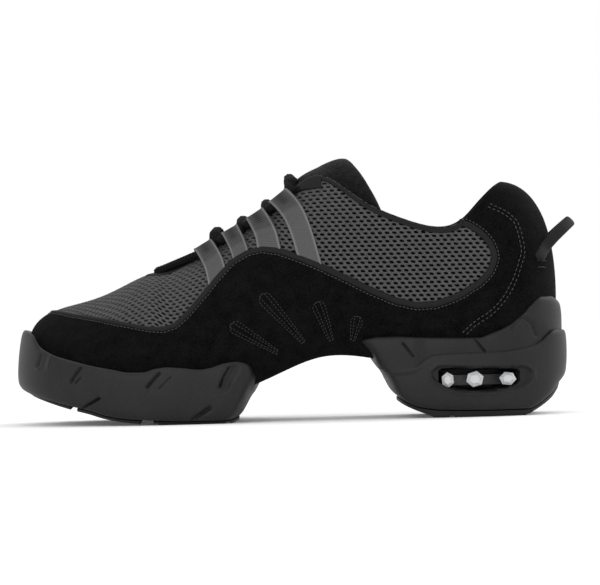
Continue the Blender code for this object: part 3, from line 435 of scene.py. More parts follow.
# A tube: an oval section swept along a path, its wide way nearest to the wanted direction, and its ends
# drawn in to rounded caps. ripple(length, turn) swells the radius.
def tubePoints(path, wanted, halfWide, halfThick, sides, capRings, ripple):
    path = np.asarray(path, float)
    tangent = unit(np.gradient(path, axis=0))
    wide = np.broadcast_to(np.asarray(wanted, float), path.shape)
    wide = unit(wide - tangent * (wide * tangent).sum(-1, keepdims=True))
    thick = np.cross(tangent, wide)
    t = np.linspace(0, math.pi / 2, capRings + 1)[:-1]
    reach = min(np.max(halfWide), np.max(halfThick)) * 0.8
    headShift = -np.cos(t)[:, None] * tangent[0] * reach
    tailShift = np.cos(t)[::-1][:, None] * tangent[-1] * reach

    def withCaps(values):
        return np.concatenate([np.repeat(values[:1], capRings, 0), values, np.repeat(values[-1:], capRings, 0)])

    halfWide, halfThick = (withCaps(np.broadcast_to(half, len(path))) for half in (halfWide, halfThick))
    wide, thick = withCaps(wide), withCaps(thick)
    size = np.concatenate([np.sin(t), np.ones(len(path)), np.sin(t)[::-1]])
    path = np.concatenate([path[0] + headShift, path, path[-1] + tailShift])
    turn = np.arange(sides) / sides * 2 * math.pi
    radius = (1 + ripple(reached(path)[:, None], turn[None])) * np.maximum(size, 0.02)[:, None]
    return (
        path[:, None]
        + (radius * np.cos(turn) * halfWide[:, None])[..., None] * wide[:, None]
        + (radius * np.sin(turn) * halfThick[:, None])[..., None] * thick[:, None]
    )


# The tube's side quads and its two end faces.
def tubeMesh(points):
    n, m = points.shape[:2]
    faces = gridQuads(n, m, wrapM=True).tolist()
    faces += [list(range(m)), list(range(n * m - 1, n * m - m - 1, -1))]
    return points.reshape(-1, 3), faces


# Several meshes as one: vertices joined, face numbers shifted on.
def joined(parts):
    vertices, faces, start = [], [], 0
    for points, polygons in parts:
        vertices.append(np.asarray(points).reshape(-1, 3))
        faces += [[int(i) + start for i in polygon] for polygon in polygons]
        start += len(vertices[-1])
    return np.concatenate(vertices), faces


# Shaders

# A socket with operators, each of which adds a Math node.
class Value:
    def __init__(self, tree, socket):
        self.tree, self.socket = tree, socket

    def math(self, operation, *others):
        node = self.tree.nodes.new("ShaderNodeMath")
        node.operation = operation
        for slot, item in enumerate((self, *others)):
            if isinstance(item, Value):
                self.tree.links.new(item.socket, node.inputs[slot])
            else:
                node.inputs[slot].default_value = item
        return Value(self.tree, node.outputs[0])

    def constant(self, number):
        node = self.tree.nodes.new("ShaderNodeValue")
        node.outputs[0].default_value = number
        return Value(self.tree, node.outputs[0])

    def __add__(self, other):
        return self.math("ADD", other)

    def __sub__(self, other):
        return self.math("SUBTRACT", other)

    def __mul__(self, other):
        return self.math("MULTIPLY", other)

    def __truediv__(self, other):
        return self.math("DIVIDE", other)

    def __neg__(self):
        return self.math("MULTIPLY", -1.0)

    def __radd__(self, other):
        return self.math("ADD", other)

    def __rmul__(self, other):
        return self.math("MULTIPLY", other)

    def __rsub__(self, other):
        return self.constant(other).math("SUBTRACT", self)

    # 0 at low and 1 at high, straight between and held beyond.
    def ramp(self, low, high):
        return ((self - low) / (high - low)).math("MAXIMUM", 0.0).math("MINIMUM", 1.0)


# One material round a Principled shader, whose inputs are given by name.
class Look:
    def __init__(self, name, colour, roughness, **settings):
        self.material = bpy.data.materials.new(name)
        self.material.use_nodes = True
        self.tree = self.material.node_tree
        self.shader = self.tree.nodes["Principled BSDF"]
        self.shader.inputs["Base Color"].default_value = (*colour, 1.0)
        self.shader.inputs["Roughness"].default_value = roughness
        for key, value in settings.items():
            self.shader.inputs[key.replace("_", " ")].default_value = value

    # Any node: its type, settings by name, then inputs by name, each a number or a link.
    def node(self, kind, output=0, settings=(), **inputs):
        node = self.tree.nodes.new(kind)
        for key, value in dict(settings).items():
            setattr(node, key, value)
        for key, value in inputs.items():
            socket = node.inputs[key.replace("_", " ")]
            if isinstance(value, Value):
                self.tree.links.new(value.socket, socket)
            else:
                socket.default_value = value
        return Value(self.tree, node.outputs[output])

    def place(self, scale=(1, 1, 1)):
        spot = self.node("ShaderNodeTexCoord", "Object")
        return self.node("ShaderNodeMapping", Vector=spot, Scale=scale)

    def noise(self, scale, detail=4.0, rough=0.5, stretch=(1, 1, 1)):
        where = self.place(stretch)
        return self.node("ShaderNodeTexNoise", Vector=where, Scale=scale, Detail=detail, Roughness=rough)

    def attribute(self, name):
        return self.node("ShaderNodeAttribute", "Fac", settings={"attribute_name": name})

    def mixColour(self, share, first, second):
        node = self.tree.nodes.new("ShaderNodeMix")
        node.data_type = "RGBA"
        for slot, item in ((0, share), (6, first), (7, second)):
            if isinstance(item, Value):
                self.tree.links.new(item.socket, node.inputs[slot])
            elif slot:
                node.inputs[slot].default_value = (*item, 1.0)
            else:
                node.inputs[slot].default_value = item
        return Value(self.tree, node.outputs[2])

    def feed(self, name, value):
        self.tree.links.new(value.socket, self.shader.inputs[name])
        return self

    def bump(self, height, distance, strength=1.0):
        self.feed("Normal", self.node("ShaderNodeBump", Height=height, Distance=distance, Strength=strength))
        return self

    # Base colour between two greys by a ramp of a pattern, with a bump of the same pattern.
    def grained(self, pattern, stops, dark, light, depth=0.0, strength=1.0):
        self.feed("Base Color", self.mixColour(pattern.ramp(*stops), grey(dark), grey(light)))
        return self.bump(pattern, depth, strength) if depth else self


# A grey of 0 to 255 as seen on screen, in linear light.
def grey(tone):
    linear = tone / 255
    linear = linear / 12.92 if linear <= 0.04045 else ((linear + 0.055) / 1.055) ** 2.4
    return (linear, linear, linear)


# All materials by key, each with its own pattern of noise.
def makeLooks():
    suede = Look("suede", grey(12), 1.0, Sheen_Weight=0.02, Specular_IOR_Level=0.04)
    fine, broad = suede.noise(1400.0, 5.0, 0.65), suede.noise(160.0, 3.0)
    suede.grained(fine * 0.7 + broad * 0.3, (0.36, 0.66), 2, 20).bump(fine + broad * 0.4, 0.0003, 0.9)
    knit = Look("knit", grey(70), 0.8, Sheen_Weight=0.04, Specular_IOR_Level=0.2)
    knit.grained(knit.noise(2600.0, 3.0, 0.6, (0.35, 1, 1)), (0.3, 0.72), 49, 87, 0.00015, 0.8)
    trim = Look("trim", grey(43), 0.62, Specular_IOR_Level=0.18)
    trim.grained(trim.noise(3000.0, 3.0), (0.3, 0.7), 12, 22, 0.00008, 0.6)
    lace = Look("lace", grey(8), 0.85, Specular_IOR_Level=0.10)
    lace.grained(lace.noise(2500.0, 3.0), (0.3, 0.7), 4, 18)
    cloth = Look("cloth", grey(38), 0.85, Specular_IOR_Level=0.2)
    cloth.grained(cloth.noise(2000.0, 3.0), (0.3, 0.7), 30, 46, 0.00012, 0.6)
    tread = Look("tread rubber", grey(24), 0.6, Specular_IOR_Level=0.3)
    tread.bump(tread.noise(900.0, 4.0), 0.0001, 0.6)

    # webbing: an attribute above 0 is painted shade on the fold, on the tube's raised middle and in the ribs'
    # valleys; below 0 it is a painted highlight along the selvedge
    webbing = Look("webbing", grey(100), 0.62, Specular_IOR_Level=0.35)
    shade, grain = webbing.attribute("shade"), webbing.noise(3500.0, 3.0)
    bright = webbing.mixColour(grain.ramp(0.3, 0.7), grey(70), grey(92))
    withPaintedShade = webbing.mixColour(shade.ramp(0.0, 1.0), bright, grey(16))
    webbing.feed("Base Color", webbing.mixColour((-shade).ramp(0.0, 0.4), withPaintedShade, grey(128)))
    webbing.bump(grain, 0.0001, 0.6)

    # sole: faint specks and clouds, with painted shade where an attribute says that it lies deep: faint in
    # grooves and dents, full in the window pockets
    rubber = Look("midsole rubber", grey(60), 0.48, Specular_IOR_Level=0.22)
    speck, wash = rubber.noise(900.0, 4.0), rubber.noise(60.0, 3.0)
    body = rubber.mixColour((speck * 0.5 + wash * 0.5).ramp(0.35, 0.65), grey(22), grey(32))
    rubber.feed("Base Color", rubber.mixColour(rubber.attribute("crease"), body, grey(10)))
    rubber.feed("Roughness", wash * 0.2 + 0.4).bump(speck, 0.00006, 0.5)

    # tongue: smooth cloth that turns to plush where "fuzz" is 1
    tongue = Look("tongue", grey(34), 0.9, Specular_IOR_Level=0.12, Sheen_Weight=0.05)
    fuzz, tuft, fineTuft = tongue.attribute("fuzz"), tongue.noise(420.0, 5.0, 0.65), tongue.noise(1800.0, 3.0)
    pile = tongue.mixColour((tuft * 0.7 + fineTuft * 0.3).ramp(0.36, 0.66), grey(3), grey(26))
    tongue.feed("Base Color", tongue.mixColour(fuzz, grey(20), pile))
    tongue.bump((tuft + fineTuft * 0.4) * fuzz, 0.0008, 0.9)
    made = {
        "suede": suede, "knit": knit, "trim": trim, "lace": lace, "cloth": cloth, "tread": tread,
        "webbing": webbing, "rubber": rubber, "tongue": tongue,
        "under": Look("under the knit", grey(8), 0.95, Specular_IOR_Level=0.1),
        "clear": Look("clear pods", (0.5, 0.51, 0.52), 0.15, Coat_Weight=0.6, Coat_Roughness=0.05),
        "bar": Look("bar behind the pods", grey(70), 0.4),
        "thread": Look("thread", grey(64), 0.7, Specular_IOR_Level=0.3),
        "dimThread": Look("dim thread", grey(50), 0.7, Specular_IOR_Level=0.2),
    }
    return {key: look.material for key, look in made.items()}


looks = makeLooks()
print("looks made", flush=True)

# Upper

# Side-view places are millimetres from the heel's back and up.
upper = {
    "sideRows": 54, "heelRows": 30, "rearStations": 44,
    # the knit panel's rear end, from the collar round to the wrap
    "panelRear": [
        (50.5, 95.6), (46.8, 94.2), (43.4, 92.2), (39.1, 88.7), (35.3, 83.7), (33.5, 77.3),
        (35.6, 70.5), (41.6, 63.8), (47.0, 60.4), (52.5, 57.3), (57.5, 55.4),
    ],
    "counterLift": 0.00035,  # of the heel counter over the rest of the suede
    "counterUp": [41.9, 50.6, 61.6, 73.1, 79.4, 92.8, 98.7, 102.9],
    "counterBack": [48.6, 35.6, 26.9, 22.3, 20.8, 23.5, 29.2, 37.5],
    "turnIn": [(0.003, 0.75), (0.004, 0.2), (0.003, -0.6)],  # steps in v, shares of the lift, at the panel
    "insets": (0.0012, 0.003, 0.006, 0.010),  # of the lasting margin under the foot
}


# The panel's edge in u and v: the placed rear end, split at its rearmost station into an upper and a
# lower branch, the lower one carried on by the suede's edge.
def panelEdges():
    u, v = placeAt(smoothPath(upper["panelRear"], 90))
    tip = int(np.argmin(u))
    lowU, lowV = u[tip:], v[tip:]
    order = np.argsort(lowU)
    lowU, lowV = lowU[order], lowV[order]
    rest = np.linspace(lowU[-1] + 0.15, shoe["rows"], 1200)
    lowU, lowV = np.concatenate([lowU, rest]), np.concatenate([lowV, suedeTop(rest)])
    highU, highV = u[:tip + 1], v[:tip + 1]
    order = np.argsort(highU)
    return {"tipU": u[tip], "lowU": lowU, "lowV": lowV, "highU": highU[order], "highV": highV[order]}


# v of the panel's lower edge at u.
def panelLow(u):
    return np.interp(halfWay(u), panel["lowU"], panel["lowV"])


# The upper edge ends at the top line, 1.
def panelHigh(u):
    return np.interp(halfWay(u), panel["highU"], panel["highV"], right=1.0)


# Stations round the shoe, closer together past the panel's rearmost one.
def wrapStations():
    tip = panel["tipU"]
    rear = np.linspace(0, tip, upper["rearStations"])[:-1]
    near = tip + np.linspace(0, 1, 60) ** 2 * (3.4 - tip)
    outer = np.concatenate([rear, near, np.linspace(3.4, shoe["rows"], 260)[1:]])
    return np.concatenate([outer, across(outer[-2:0:-1])])


# The counter's lift: full behind its seam, none in front of it, over 1 mm.
def heelCounter(u, v):
    places = profile(u, v)
    back = toAlong(places[..., 0]) * shoe["soleLength"] * 1000
    seam = np.interp(places[..., 2] * 1000, upper["counterUp"], upper["counterBack"])
    return upper["counterLift"] * smoothStep(0.5, -0.5, back - seam)


# The suede wrap: from the middle line under the foot up both sides to the knit panel, where it turns
# in. Its lift is the suede's step, with the heel counter's on top.
def suedeWrap():
    turnStep, turnLift = np.array(upper["turnIn"]).T[:, None]
    u = wrapStations()
    n = len(u)
    edge = panelLow(u)
    share = np.linspace(0, 1, upper["sideRows"]) ** 0.9
    v = share[None] * edge[:, None]
    lift = shoe["suedeStep"] * smoothStep(0, 0.05, share)[None] + heelCounter(u[:, None], v)
    free = (halfWay(u) > panel["tipU"] + 1e-6)[:, None]
    v = np.concatenate([v, edge[:, None] + turnStep * free], axis=1)
    lift = np.concatenate([lift, lift[:, -1:] * np.where(free, turnLift, 1.0)], axis=1)
    side = skin(u[:, None], np.clip(v, 0, 1), lift)
    foot, out = featherEdge(u), outward(u)
    side[:, 0] = foot
    mirror = (-np.arange(n)) % n
    under = [
        foot - out * inset - np.array([0, 0, 0.0003 * (1 - math.exp(-inset / 0.002))])
        for inset in upper["insets"]
    ]
    middle = (under[-1] + under[-1][mirror]) / 2
    near = (middle + under[-1]) / 2
    points = np.concatenate([middle[:, None], near[:, None], np.stack(under[::-1], axis=1), side], axis=1)
    parts = [(points, gridQuads(n, points.shape[1], wrapN=True)[:, ::-1])]

    # heel and collar back: from the panel's upper branch over the collar's roll and down inside
    tip, ends = panel["tipU"], panel["highU"][-1]
    rear = np.linspace(0, tip, upper["rearStations"])[:-1]
    outer = np.concatenate([rear, tip + np.linspace(0, 1, 50) ** 2 * (ends - tip)])
    u = np.concatenate([-outer[:0:-1], outer])
    roll = rimRoll(u, shoe["suedeStep"])
    edge = np.minimum(panelHigh(u), roll["v"] - 0.002)
    free = (halfWay(u) > tip + 1e-6)[:, None]
    share = np.linspace(0, 1, upper["heelRows"])[None]
    v = edge[:, None] + (roll["v"] - edge)[:, None] * share
    lift = shoe["suedeStep"] + heelCounter(u[:, None], v) * (1 - share)
    v = np.concatenate([edge[:, None] - turnStep * free, v], axis=1)
    lift = np.concatenate([lift[:, :1] * np.where(free, turnLift[:, ::-1], 1.0), lift], axis=1)
    side = skin(u[:, None], np.clip(v, 0, 1), lift)
    points = np.concatenate([side, roll["points"][:, 1:], roll["inside"]], axis=1)
    parts.append((points, gridQuads(*points.shape[:2])[:, ::-1]))
    piece = newMesh("suede_wrap", *joined(parts), looks["suede"], sharp=60)
    return shown(piece, ["upper"])


# The roll over the upper's edge: half a circle from the outer lift to the lining, its middle one radius
# below the top line, then a little way down inside.
def rimRoll(u, outLift, deep=0.004):
    wall = shoe["wall"]
    radius = (outLift + wall) / 2
    v = belowTop(u, radius)
    centre = skin(u, v, (outLift - wall) / 2)
    normal, ahead = facing(u, v), topHeading(u)
    ahead = unit(ahead - normal * (ahead * normal).sum(-1, keepdims=True))
    turn = np.linspace(0, math.pi, 11)[None, :, None]
    points = centre[:, None] + radius * (np.cos(turn) * normal[:, None] + np.sin(turn) * ahead[:, None])
    below = np.stack([belowTop(u, radius + deep * t) for t in (0.4, 1.0)], axis=1)
    return {"v": v, "points": points, "inside": skin(u[:, None], below, -wall)}


# One row for each strip: stations from and to, how many, width, width to add over a span of u, lift.
binding = {
    "throat": (6.02, 10.97, 170, 0.0034, (0.0012, 9.6, 10.9), 0.0009),
    "tab": (6.0, 6.8, 40, 0.0078, (-0.0030, 6.3, 6.8), 0.0016),
    "band": (None, 6.1, 130, 0.0031, (0.0, 6.0, 6.1), 0.0010),
    "rise": [(0, -0.3), (0, 0.45), (0.03, 0.8), (0.08, 1.0), (0.3, 1.05), (0.6, 1.05), (0.85, 1.02)],
}


# Collar band, throat binding and top tab: a strip that starts at the skin, rises to its lift and rolls
# over the edge.
def bindings():
    t, rise = np.array(binding["rise"]).T
    parts = []
    for side in (1, -1):
        for name in ("band", "throat", "tab"):
            first, last, count, width, (more, low, high), lift = binding[name]
            first = panel["highU"][-1] - 0.05 if first is None else first
            u = np.linspace(first, last, count)
            width = width + more * smoothStep(low, high, u)
            u = u * side % (2 * shoe["rows"])
            roll, foot = rimRoll(u, lift), belowTop(u, width)
            v = foot[:, None] + (roll["v"] - foot)[:, None] * t[None]
            strip = skin(u[:, None], v, np.broadcast_to(rise * lift, v.shape))
            points = np.concatenate([strip, roll["points"], roll["inside"]], axis=1)
            parts.append((points, gridQuads(*points.shape[:2])[:, ::-side]))
    piece = newMesh("collar_and_throat_binding", *joined(parts), looks["trim"], sharp=50)
    shown(piece, ["collar_band_outer", "collar_band_inner", "top_tab_outer", "top_tab_inner"])


# The panel's outline in u and v: its rear end, then the suede's edge, at even steps.
def panelPath():
    u, v = placeAt(smoothPath(upper["panelRear"], 160))
    rest = np.linspace(u[-1] + 0.08, shoe["rows"], 420)
    u, v = np.concatenate([u, rest]), np.concatenate([v, np.interp(rest, panel["lowU"], panel["lowV"])])
    return evenPath(np.stack([u, v], axis=1), 520)


# Frames on the skin along a path of u and v: places, normals, and the direction across the path that
# points into the panel.
def surfaceFrames(path, side, lift=0.0):
    u = onSide(path[:, 0], side)
    places, normal = skin(u, path[:, 1], lift), facing(u, path[:, 1])
    ahead = unit(np.gradient(places, axis=0))
    return places, normal, unit(np.cross(ahead, normal)) * side


pipe = {"half": 0.00165, "rise": 0.00125, "lift": 0.0002, "sunk": (0.0005, 0.0007), "thinner": 0.25}


# Piping along the suede's edge: half rounds across the panel's outline, on its knit side, with both
# edges turned down into the skin. It thins towards the toe.
def piping():
    path = panelPath()
    turn = np.linspace(0, math.pi, 13)
    parts = []
    for side in (1, -1):
        places, normal, inwards = surfaceFrames(path, side)
        wide = pipe["half"] * (1 - pipe["thinner"] * smoothStep(8.5, 10.5, path[:, 0]))
        points = (
            (places + inwards * wide[:, None] * 0.95)[:, None]
            - inwards[:, None] * (np.cos(turn)[None, :, None] * wide[:, None, None])
            + normal[:, None] * (pipe["lift"] + pipe["rise"] * np.sin(turn) ** 0.7)[None, :, None]
        )
        low = points[:, :1] - normal[:, None] * pipe["sunk"][0]
        high = points[:, -1:] - normal[:, None] * pipe["sunk"][1]
        points = np.concatenate([low, points, high], axis=1)
        parts.append((points, gridQuads(*points.shape[:2])[:, ::side]))
    piece = newMesh("piping", *joined(parts), looks["trim"])
    shown(piece)


# The guide line, which the knit's rows follow, is given by share of the sole's length and height.
knit = {
    "pitch": 0.0035, "rowStep": 0.00205, "holeLong": 0.00118, "holeTall": 0.00063, "slant": -12.0,
    "lifts": (0.00044, 0.00054, 0.0001, -0.0007), "past": 0.008, "halvings": 26,
    "guideAlong": [0.0, 0.50, 0.567, 0.642, 0.716, 0.761],
    "guideUp": [0.086, 0.086, 0.0875, 0.0815, 0.0728, 0.0717],
}


# The lattice of the knit: vertical slices of the last at even steps along a guide line, and on each
# the girth from that line downwards. Tables hold u and v over slice and girth.
def knitTables():
    ridgeEnd = topLine(np.array(float(shoe["rows"])))[0]
    xs = np.linspace(toX(0.115), toX(0.965), 360)
    low, high = np.zeros(len(xs)), np.ones(len(xs))
    for _ in range(knit["halvings"]):
        middle = (low + high) / 2
        over = profile(np.full(len(xs), float(shoe["rows"])), middle)[:, 0] > xs
        low, high = np.where(over, low, middle), np.where(over, middle, high)
    top = np.where(xs < ridgeEnd, low, 1.0)
    v = top[:, None] * np.linspace(0, 1, 150)[None]
    x = np.repeat(xs[:, None], v.shape[1], 1)
    lowU, highU = np.zeros(v.shape), np.full(v.shape, float(shoe["rows"]))
    for _ in range(knit["halvings"]):
        middle = (lowU + highU) / 2
        over = profile(middle, v)[..., 0] > x
        lowU, highU = np.where(over, middle, lowU), np.where(over, highU, middle)
    uu = (lowU + highU) / 2
    places = profile(uu, v)
    girth = np.array([reached(row[::-1])[::-1] for row in places])
    along = toAlong(xs)
    guide = np.interp(along, knit["guideAlong"], knit["guideUp"])
    atGuide = np.array([np.interp(g, row[:, 2], gir) for g, row, gir in zip(guide, places, girth)])
    atGuide = atGuide * (1 - smoothStep(0.60, 0.74, along))
    down = girth - atGuide[:, None]
    line = np.stack([xs, np.where(along >= 0.755, places[:, -1, 2], guide)], axis=1)
    return reached(line), down, uu, v


# u and v at lattice places: straight interpolation along a slice's girth, then between slices.
def onLattice(tables, s, t):
    length, down, uu, vv = tables
    i = np.clip(np.searchsorted(length, s) - 1, 0, len(length) - 2)
    f = np.clip((s - length[i]) / (length[i + 1] - length[i]), 0, 1)
    found = []
    for k in (i, i + 1):
        rows = down[k][:, ::-1]
        j = np.clip((rows < t[:, None]).sum(1) - 1, 0, rows.shape[1] - 2)
        pick = np.arange(len(t))
        a, b = rows[pick, j], rows[pick, j + 1]
        g = np.clip((t - a) / np.where(b == a, 1, b - a), 0, 1)
        us, vs = uu[k][:, ::-1], vv[k][:, ::-1]
        found.append((us[pick, j] * (1 - g) + us[pick, j + 1] * g, vs[pick, j] * (1 - g) + vs[pick, j + 1] * g))
    return found[0][0] * (1 - f) + found[1][0] * f, found[0][1] * (1 - f) + found[1][1] * f


# The knit: brick-laid cells, each a ring of quads from its border to a slanted elliptical hole,
# whose rim sinks and whose wall goes in. Corners past the panel's edge are drawn back onto it.
def knitPanel(tables):
    length, down, _, _ = tables
    columns = int(length[-1] / knit["pitch"]) + 1
    rows = np.arange(int(down.min() / knit["rowStep"]) - 1, int(down.max() / knit["rowStep"]) + 2)
    border = np.array([
        (-0.5, -0.5), (-0.25, -0.5), (0, -0.5), (0.25, -0.5), (0.5, -0.5), (0.5, 0), (0.5, 0.5),
        (0.25, 0.5), (0, 0.5), (-0.25, 0.5), (-0.5, 0.5), (-0.5, 0),
    ]) * (knit["pitch"], knit["rowStep"])
    turn = np.arctan2(border[:, 1] / knit["rowStep"], border[:, 0] / knit["pitch"])
    slant = math.radians(knit["slant"])
    hole = np.stack([np.cos(turn) * knit["holeLong"], np.sin(turn) * knit["holeTall"]], axis=1)
    hole = hole @ np.array([[math.cos(slant), math.sin(slant)], [-math.sin(slant), math.cos(slant)]])
    gridI, gridJ = np.meshgrid(np.arange(columns), rows, indexing="ij")
    centre = np.stack([(gridI + 0.5 * (gridJ % 2)) * knit["pitch"], gridJ * knit["rowStep"]], axis=-1)
    centre = centre.reshape(-1, 2)
    rings = (border, (border + hole * 2.2) / 3.2, hole, hole * 1.02)
    places = centre[:, None] + np.concatenate(rings)[None]
    s, t = places[..., 0].ravel(), places[..., 1].ravel()
    u, v = onLattice(tables, s, t)
    edge, high = panelLow(u) - knit["past"], np.minimum(panelHigh(u) + knit["past"], 1.0)
    within = (u > panel["tipU"]) & (v > edge) & (v < np.minimum(high, 0.9995))
    inside = within.reshape(len(centre), -1).any(axis=1)
    u = np.maximum(u, panel["tipU"])
    v = np.clip(v, edge, high)
    u, v = u.reshape(len(centre), -1)[inside], v.reshape(len(centre), -1)[inside]
    lift = np.broadcast_to(np.repeat(knit["lifts"], len(border)), u.shape)
    ringFaces = gridQuads(len(rings), len(border), wrapM=True)
    for word, around in (("outer", u), ("inner", across(u))):
        vertices = skin(around, v, lift).reshape(-1, 3)
        faces = (ringFaces[None] + (np.arange(len(u)) * u.shape[1])[:, None, None]).reshape(-1, 4)
        corners = vertices[faces]
        diagonals = corners[:, 2] - corners[:, 0], corners[:, 3] - corners[:, 1]
        area = np.linalg.norm(np.cross(*diagonals), axis=1)
        faces = (faces if word == "outer" else faces[:, ::-1])[area > 1e-12]
        shown(newMesh("knit_" + word, vertices, faces, looks["knit"]))


# The skins behind: the dark layer under the knit and the lining, each the whole last at its own depth.
def innerSkin(name, lift, lowV, look, flip=False):
    u = np.arange(2 * shoe["rows"] * 14) / 14
    v = lowV + (1 - lowV) * np.linspace(0, 1, 44)
    points = skin(u[:, None], v[None], lift)
    faces = gridQuads(len(u), len(v), wrapN=True)
    return shown(newMesh(name, points, faces[:, ::-1] if flip else faces, looks[look]))


panel = panelEdges()
tables = knitTables()
print("panel edges and knit lattice ready", flush=True)
suedeWrap()
bindings()
piping()
knitPanel(tables)
innerSkin("knit_backing", -0.0006, 0.15, "under")
innerSkin("lining", -shoe["wall"] - 0.0002, 0.0, "cloth", flip=True)

# Sole units

forefoot = {
    "lip": [
        (0.570, 0.421), (0.581, 0.480), (0.601, 0.506), (0.625, 0.494), (0.647, 0.463), (0.668, 0.449),
        (0.703, 0.466), (0.727, 0.473), (0.749, 0.463), (0.770, 0.437), (0.794, 0.438), (0.825, 0.464),
        (0.860, 0.496), (0.895, 0.539), (0.931, 0.590), (0.958, 0.660), (0.975, 0.760), (1.000, 0.810),
    ],
    "bottom": [
        (0.570, 0.060), (0.600, 0.040), (0.625, 0.028), (0.688, 0.028), (0.775, 0.047), (0.810, 0.061),
        (0.841, 0.090), (0.872, 0.136), (0.904, 0.170), (0.931, 0.202), (0.966, 0.256), (0.990, 0.306),
        (1.000, 0.339),
    ],
    "tread": [
        (0.570, 0.030), (0.600, 0.010), (0.616, 0.000), (0.765, 0.000), (0.782, 0.014), (0.810, 0.030),
        (0.841, 0.058), (0.872, 0.102), (0.904, 0.140), (0.950, 0.206), (0.987, 0.272), (1.000, 0.310),
    ],
    # share of the height, distance outside the feather edge, reach of the end under the arch
    "rings": [
        (0.00, 0.0040, 0.606), (0.00, 0.0066, 0.600), (0.10, 0.0085, 0.590), (0.45, 0.0090, 0.573),
        (0.72, 0.0088, 0.561), (0.92, 0.0084, 0.556), (1.02, 0.0074, 0.563), (1.03, 0.0056, 0.566),
        (1.00, 0.0038, 0.575), (0.93, 0.0005, 0.590),
    ],
    # dents in the side: a line in side-view millimetres and a half width
    "scoops": [
        ([(256.5, 34.8), (257.9, 29.5)], 0.9), ([(237.0, 28.3), (239.6, 25.1), (241.8, 21.7)], 1.0),
        ([(198.6, 25.0), (201.6, 21.9), (204.6, 18.5)], 1.1),
        ([(164.8, 26.9), (167.9, 21.9), (169.2, 18.0)], 0.9),
    ],
    "nicks": [
        ([(228.2, 13.5), (232.7, 11.0), (236.2, 9.3)], 0.8), ([(174.6, 7.7), (179.0, 4.8), (182.9, 2.7)], 1.2),
        ([(192.9, 23.4), (196.3, 20.3), (199.0, 17.6)], 0.45), ([(236.9, 23.8), (240.0, 20.9)], 0.4),
    ],
    "endScoop": [(161.9, 26.4), (164.9, 21.8), (168.0, 17.7)],
}
heel = {
    "lip": [
        (0.000, 0.930), (0.012, 0.950), (0.031, 0.998), (0.048, 0.997), (0.066, 0.934), (0.084, 0.845),
        (0.109, 0.760), (0.137, 0.706), (0.165, 0.668), (0.207, 0.670), (0.276, 0.682), (0.311, 0.692),
        (0.346, 0.692), (0.371, 0.663), (0.390, 0.640),
    ],
    "tier": [
        (0.000, 0.700), (0.022, 0.713), (0.036, 0.670), (0.050, 0.614), (0.068, 0.576), (0.085, 0.562),
        (0.120, 0.541), (0.172, 0.536), (0.207, 0.534), (0.243, 0.523), (0.264, 0.483), (0.275, 0.440),
        (0.300, 0.415), (0.335, 0.415), (0.350, 0.480), (0.390, 0.520),
    ],
    "bottom": [
        (0.000, 0.325), (0.014, 0.277), (0.035, 0.165), (0.077, 0.056), (0.140, 0.056), (0.231, 0.066),
        (0.273, 0.094), (0.300, 0.148), (0.325, 0.209), (0.390, 0.290),
    ],
    "tread": [
        (0.000, 0.290), (0.010, 0.250), (0.032, 0.134), (0.063, 0.040), (0.082, 0.000), (0.243, 0.000),
        (0.259, 0.028), (0.280, 0.066), (0.300, 0.110), (0.325, 0.175), (0.390, 0.250),
    ],
    "lowerRings": [
        (0.00, 0.0040, 0.304), (0.00, 0.0068, 0.313), (0.12, 0.0084, 0.325), (0.55, 0.0089, 0.335),
        (0.92, 0.0086, 0.343), (1.00, 0.0078, 0.346),
    ],
    "upperRings": [
        (0.01, 0.0066, 0.347), (0.20, 0.0066, 0.355), (0.60, 0.0066, 0.370), (0.93, 0.0060, 0.383),
        (1.01, 0.0044, 0.385), (1.00, 0.0026, 0.381), (0.94, 0.0003, 0.368),
    ],
    # plan share, then lower and upper edge as shares of the seat height
    "recess": [
        (0.067, 0.700, 0.770), (0.073, 0.600, 0.860), (0.086, 0.520, 0.888), (0.120, 0.455, 0.892),
        (0.160, 0.435, 0.896), (0.195, 0.455, 0.910), (0.224, 0.535, 0.930), (0.241, 0.635, 0.920),
        (0.250, 0.740, 0.820),
    ],
    "opening": [
        (0.089, 0.640, 0.805), (0.095, 0.575, 0.845), (0.115, 0.505, 0.856), (0.158, 0.475, 0.862),
        (0.198, 0.495, 0.874), (0.226, 0.560, 0.888), (0.238, 0.650, 0.850),
    ],
    "creases": [
        ([(80.5, 36.5), (77.5, 32.5), (75.6, 30.0)], 0.8), ([(45.8, 37.8), (43.2, 34.4), (41.0, 31.5)], 0.8),
    ],
    "arch": [(27.0, 42.0), (22.5, 48.6), (17.5, 45.0), (15.0, 39.0)],
    "underArch": [(24.0, 40.0), (18.0, 40.0)],
    "windowDepth": 0.0175,
}


# Plan outline of a unit: the feather edge moved out, closed by a rounded end under the arch.
def unitOutline(isHeel, out, end, sides, turns, rounding=0.034):
    start = float(stationAt(end - rounding if isHeel else end + rounding, featherEdge))
    run = np.linspace(0.0 if isHeel else float(shoe["rows"]), start, sides + 1)
    edge = featherEdge(run) + outward(run) * out
    other = featherEdge(across(run)) + outward(across(run)) * out
    turn = np.linspace(0, math.pi, turns)[1:-1, None]
    reach = toX(end) - (edge[-1, 0] + other[-1, 0]) / 2
    straight = (edge[-1] + other[-1]) / 2 + (edge[-1] - other[-1]) / 2 * np.cos(turn)
    bulge = np.sin(turn) ** 0.6 * np.array([reach, 0, 0])
    return np.concatenate([edge, straight + bulge, other[:0:-1]])


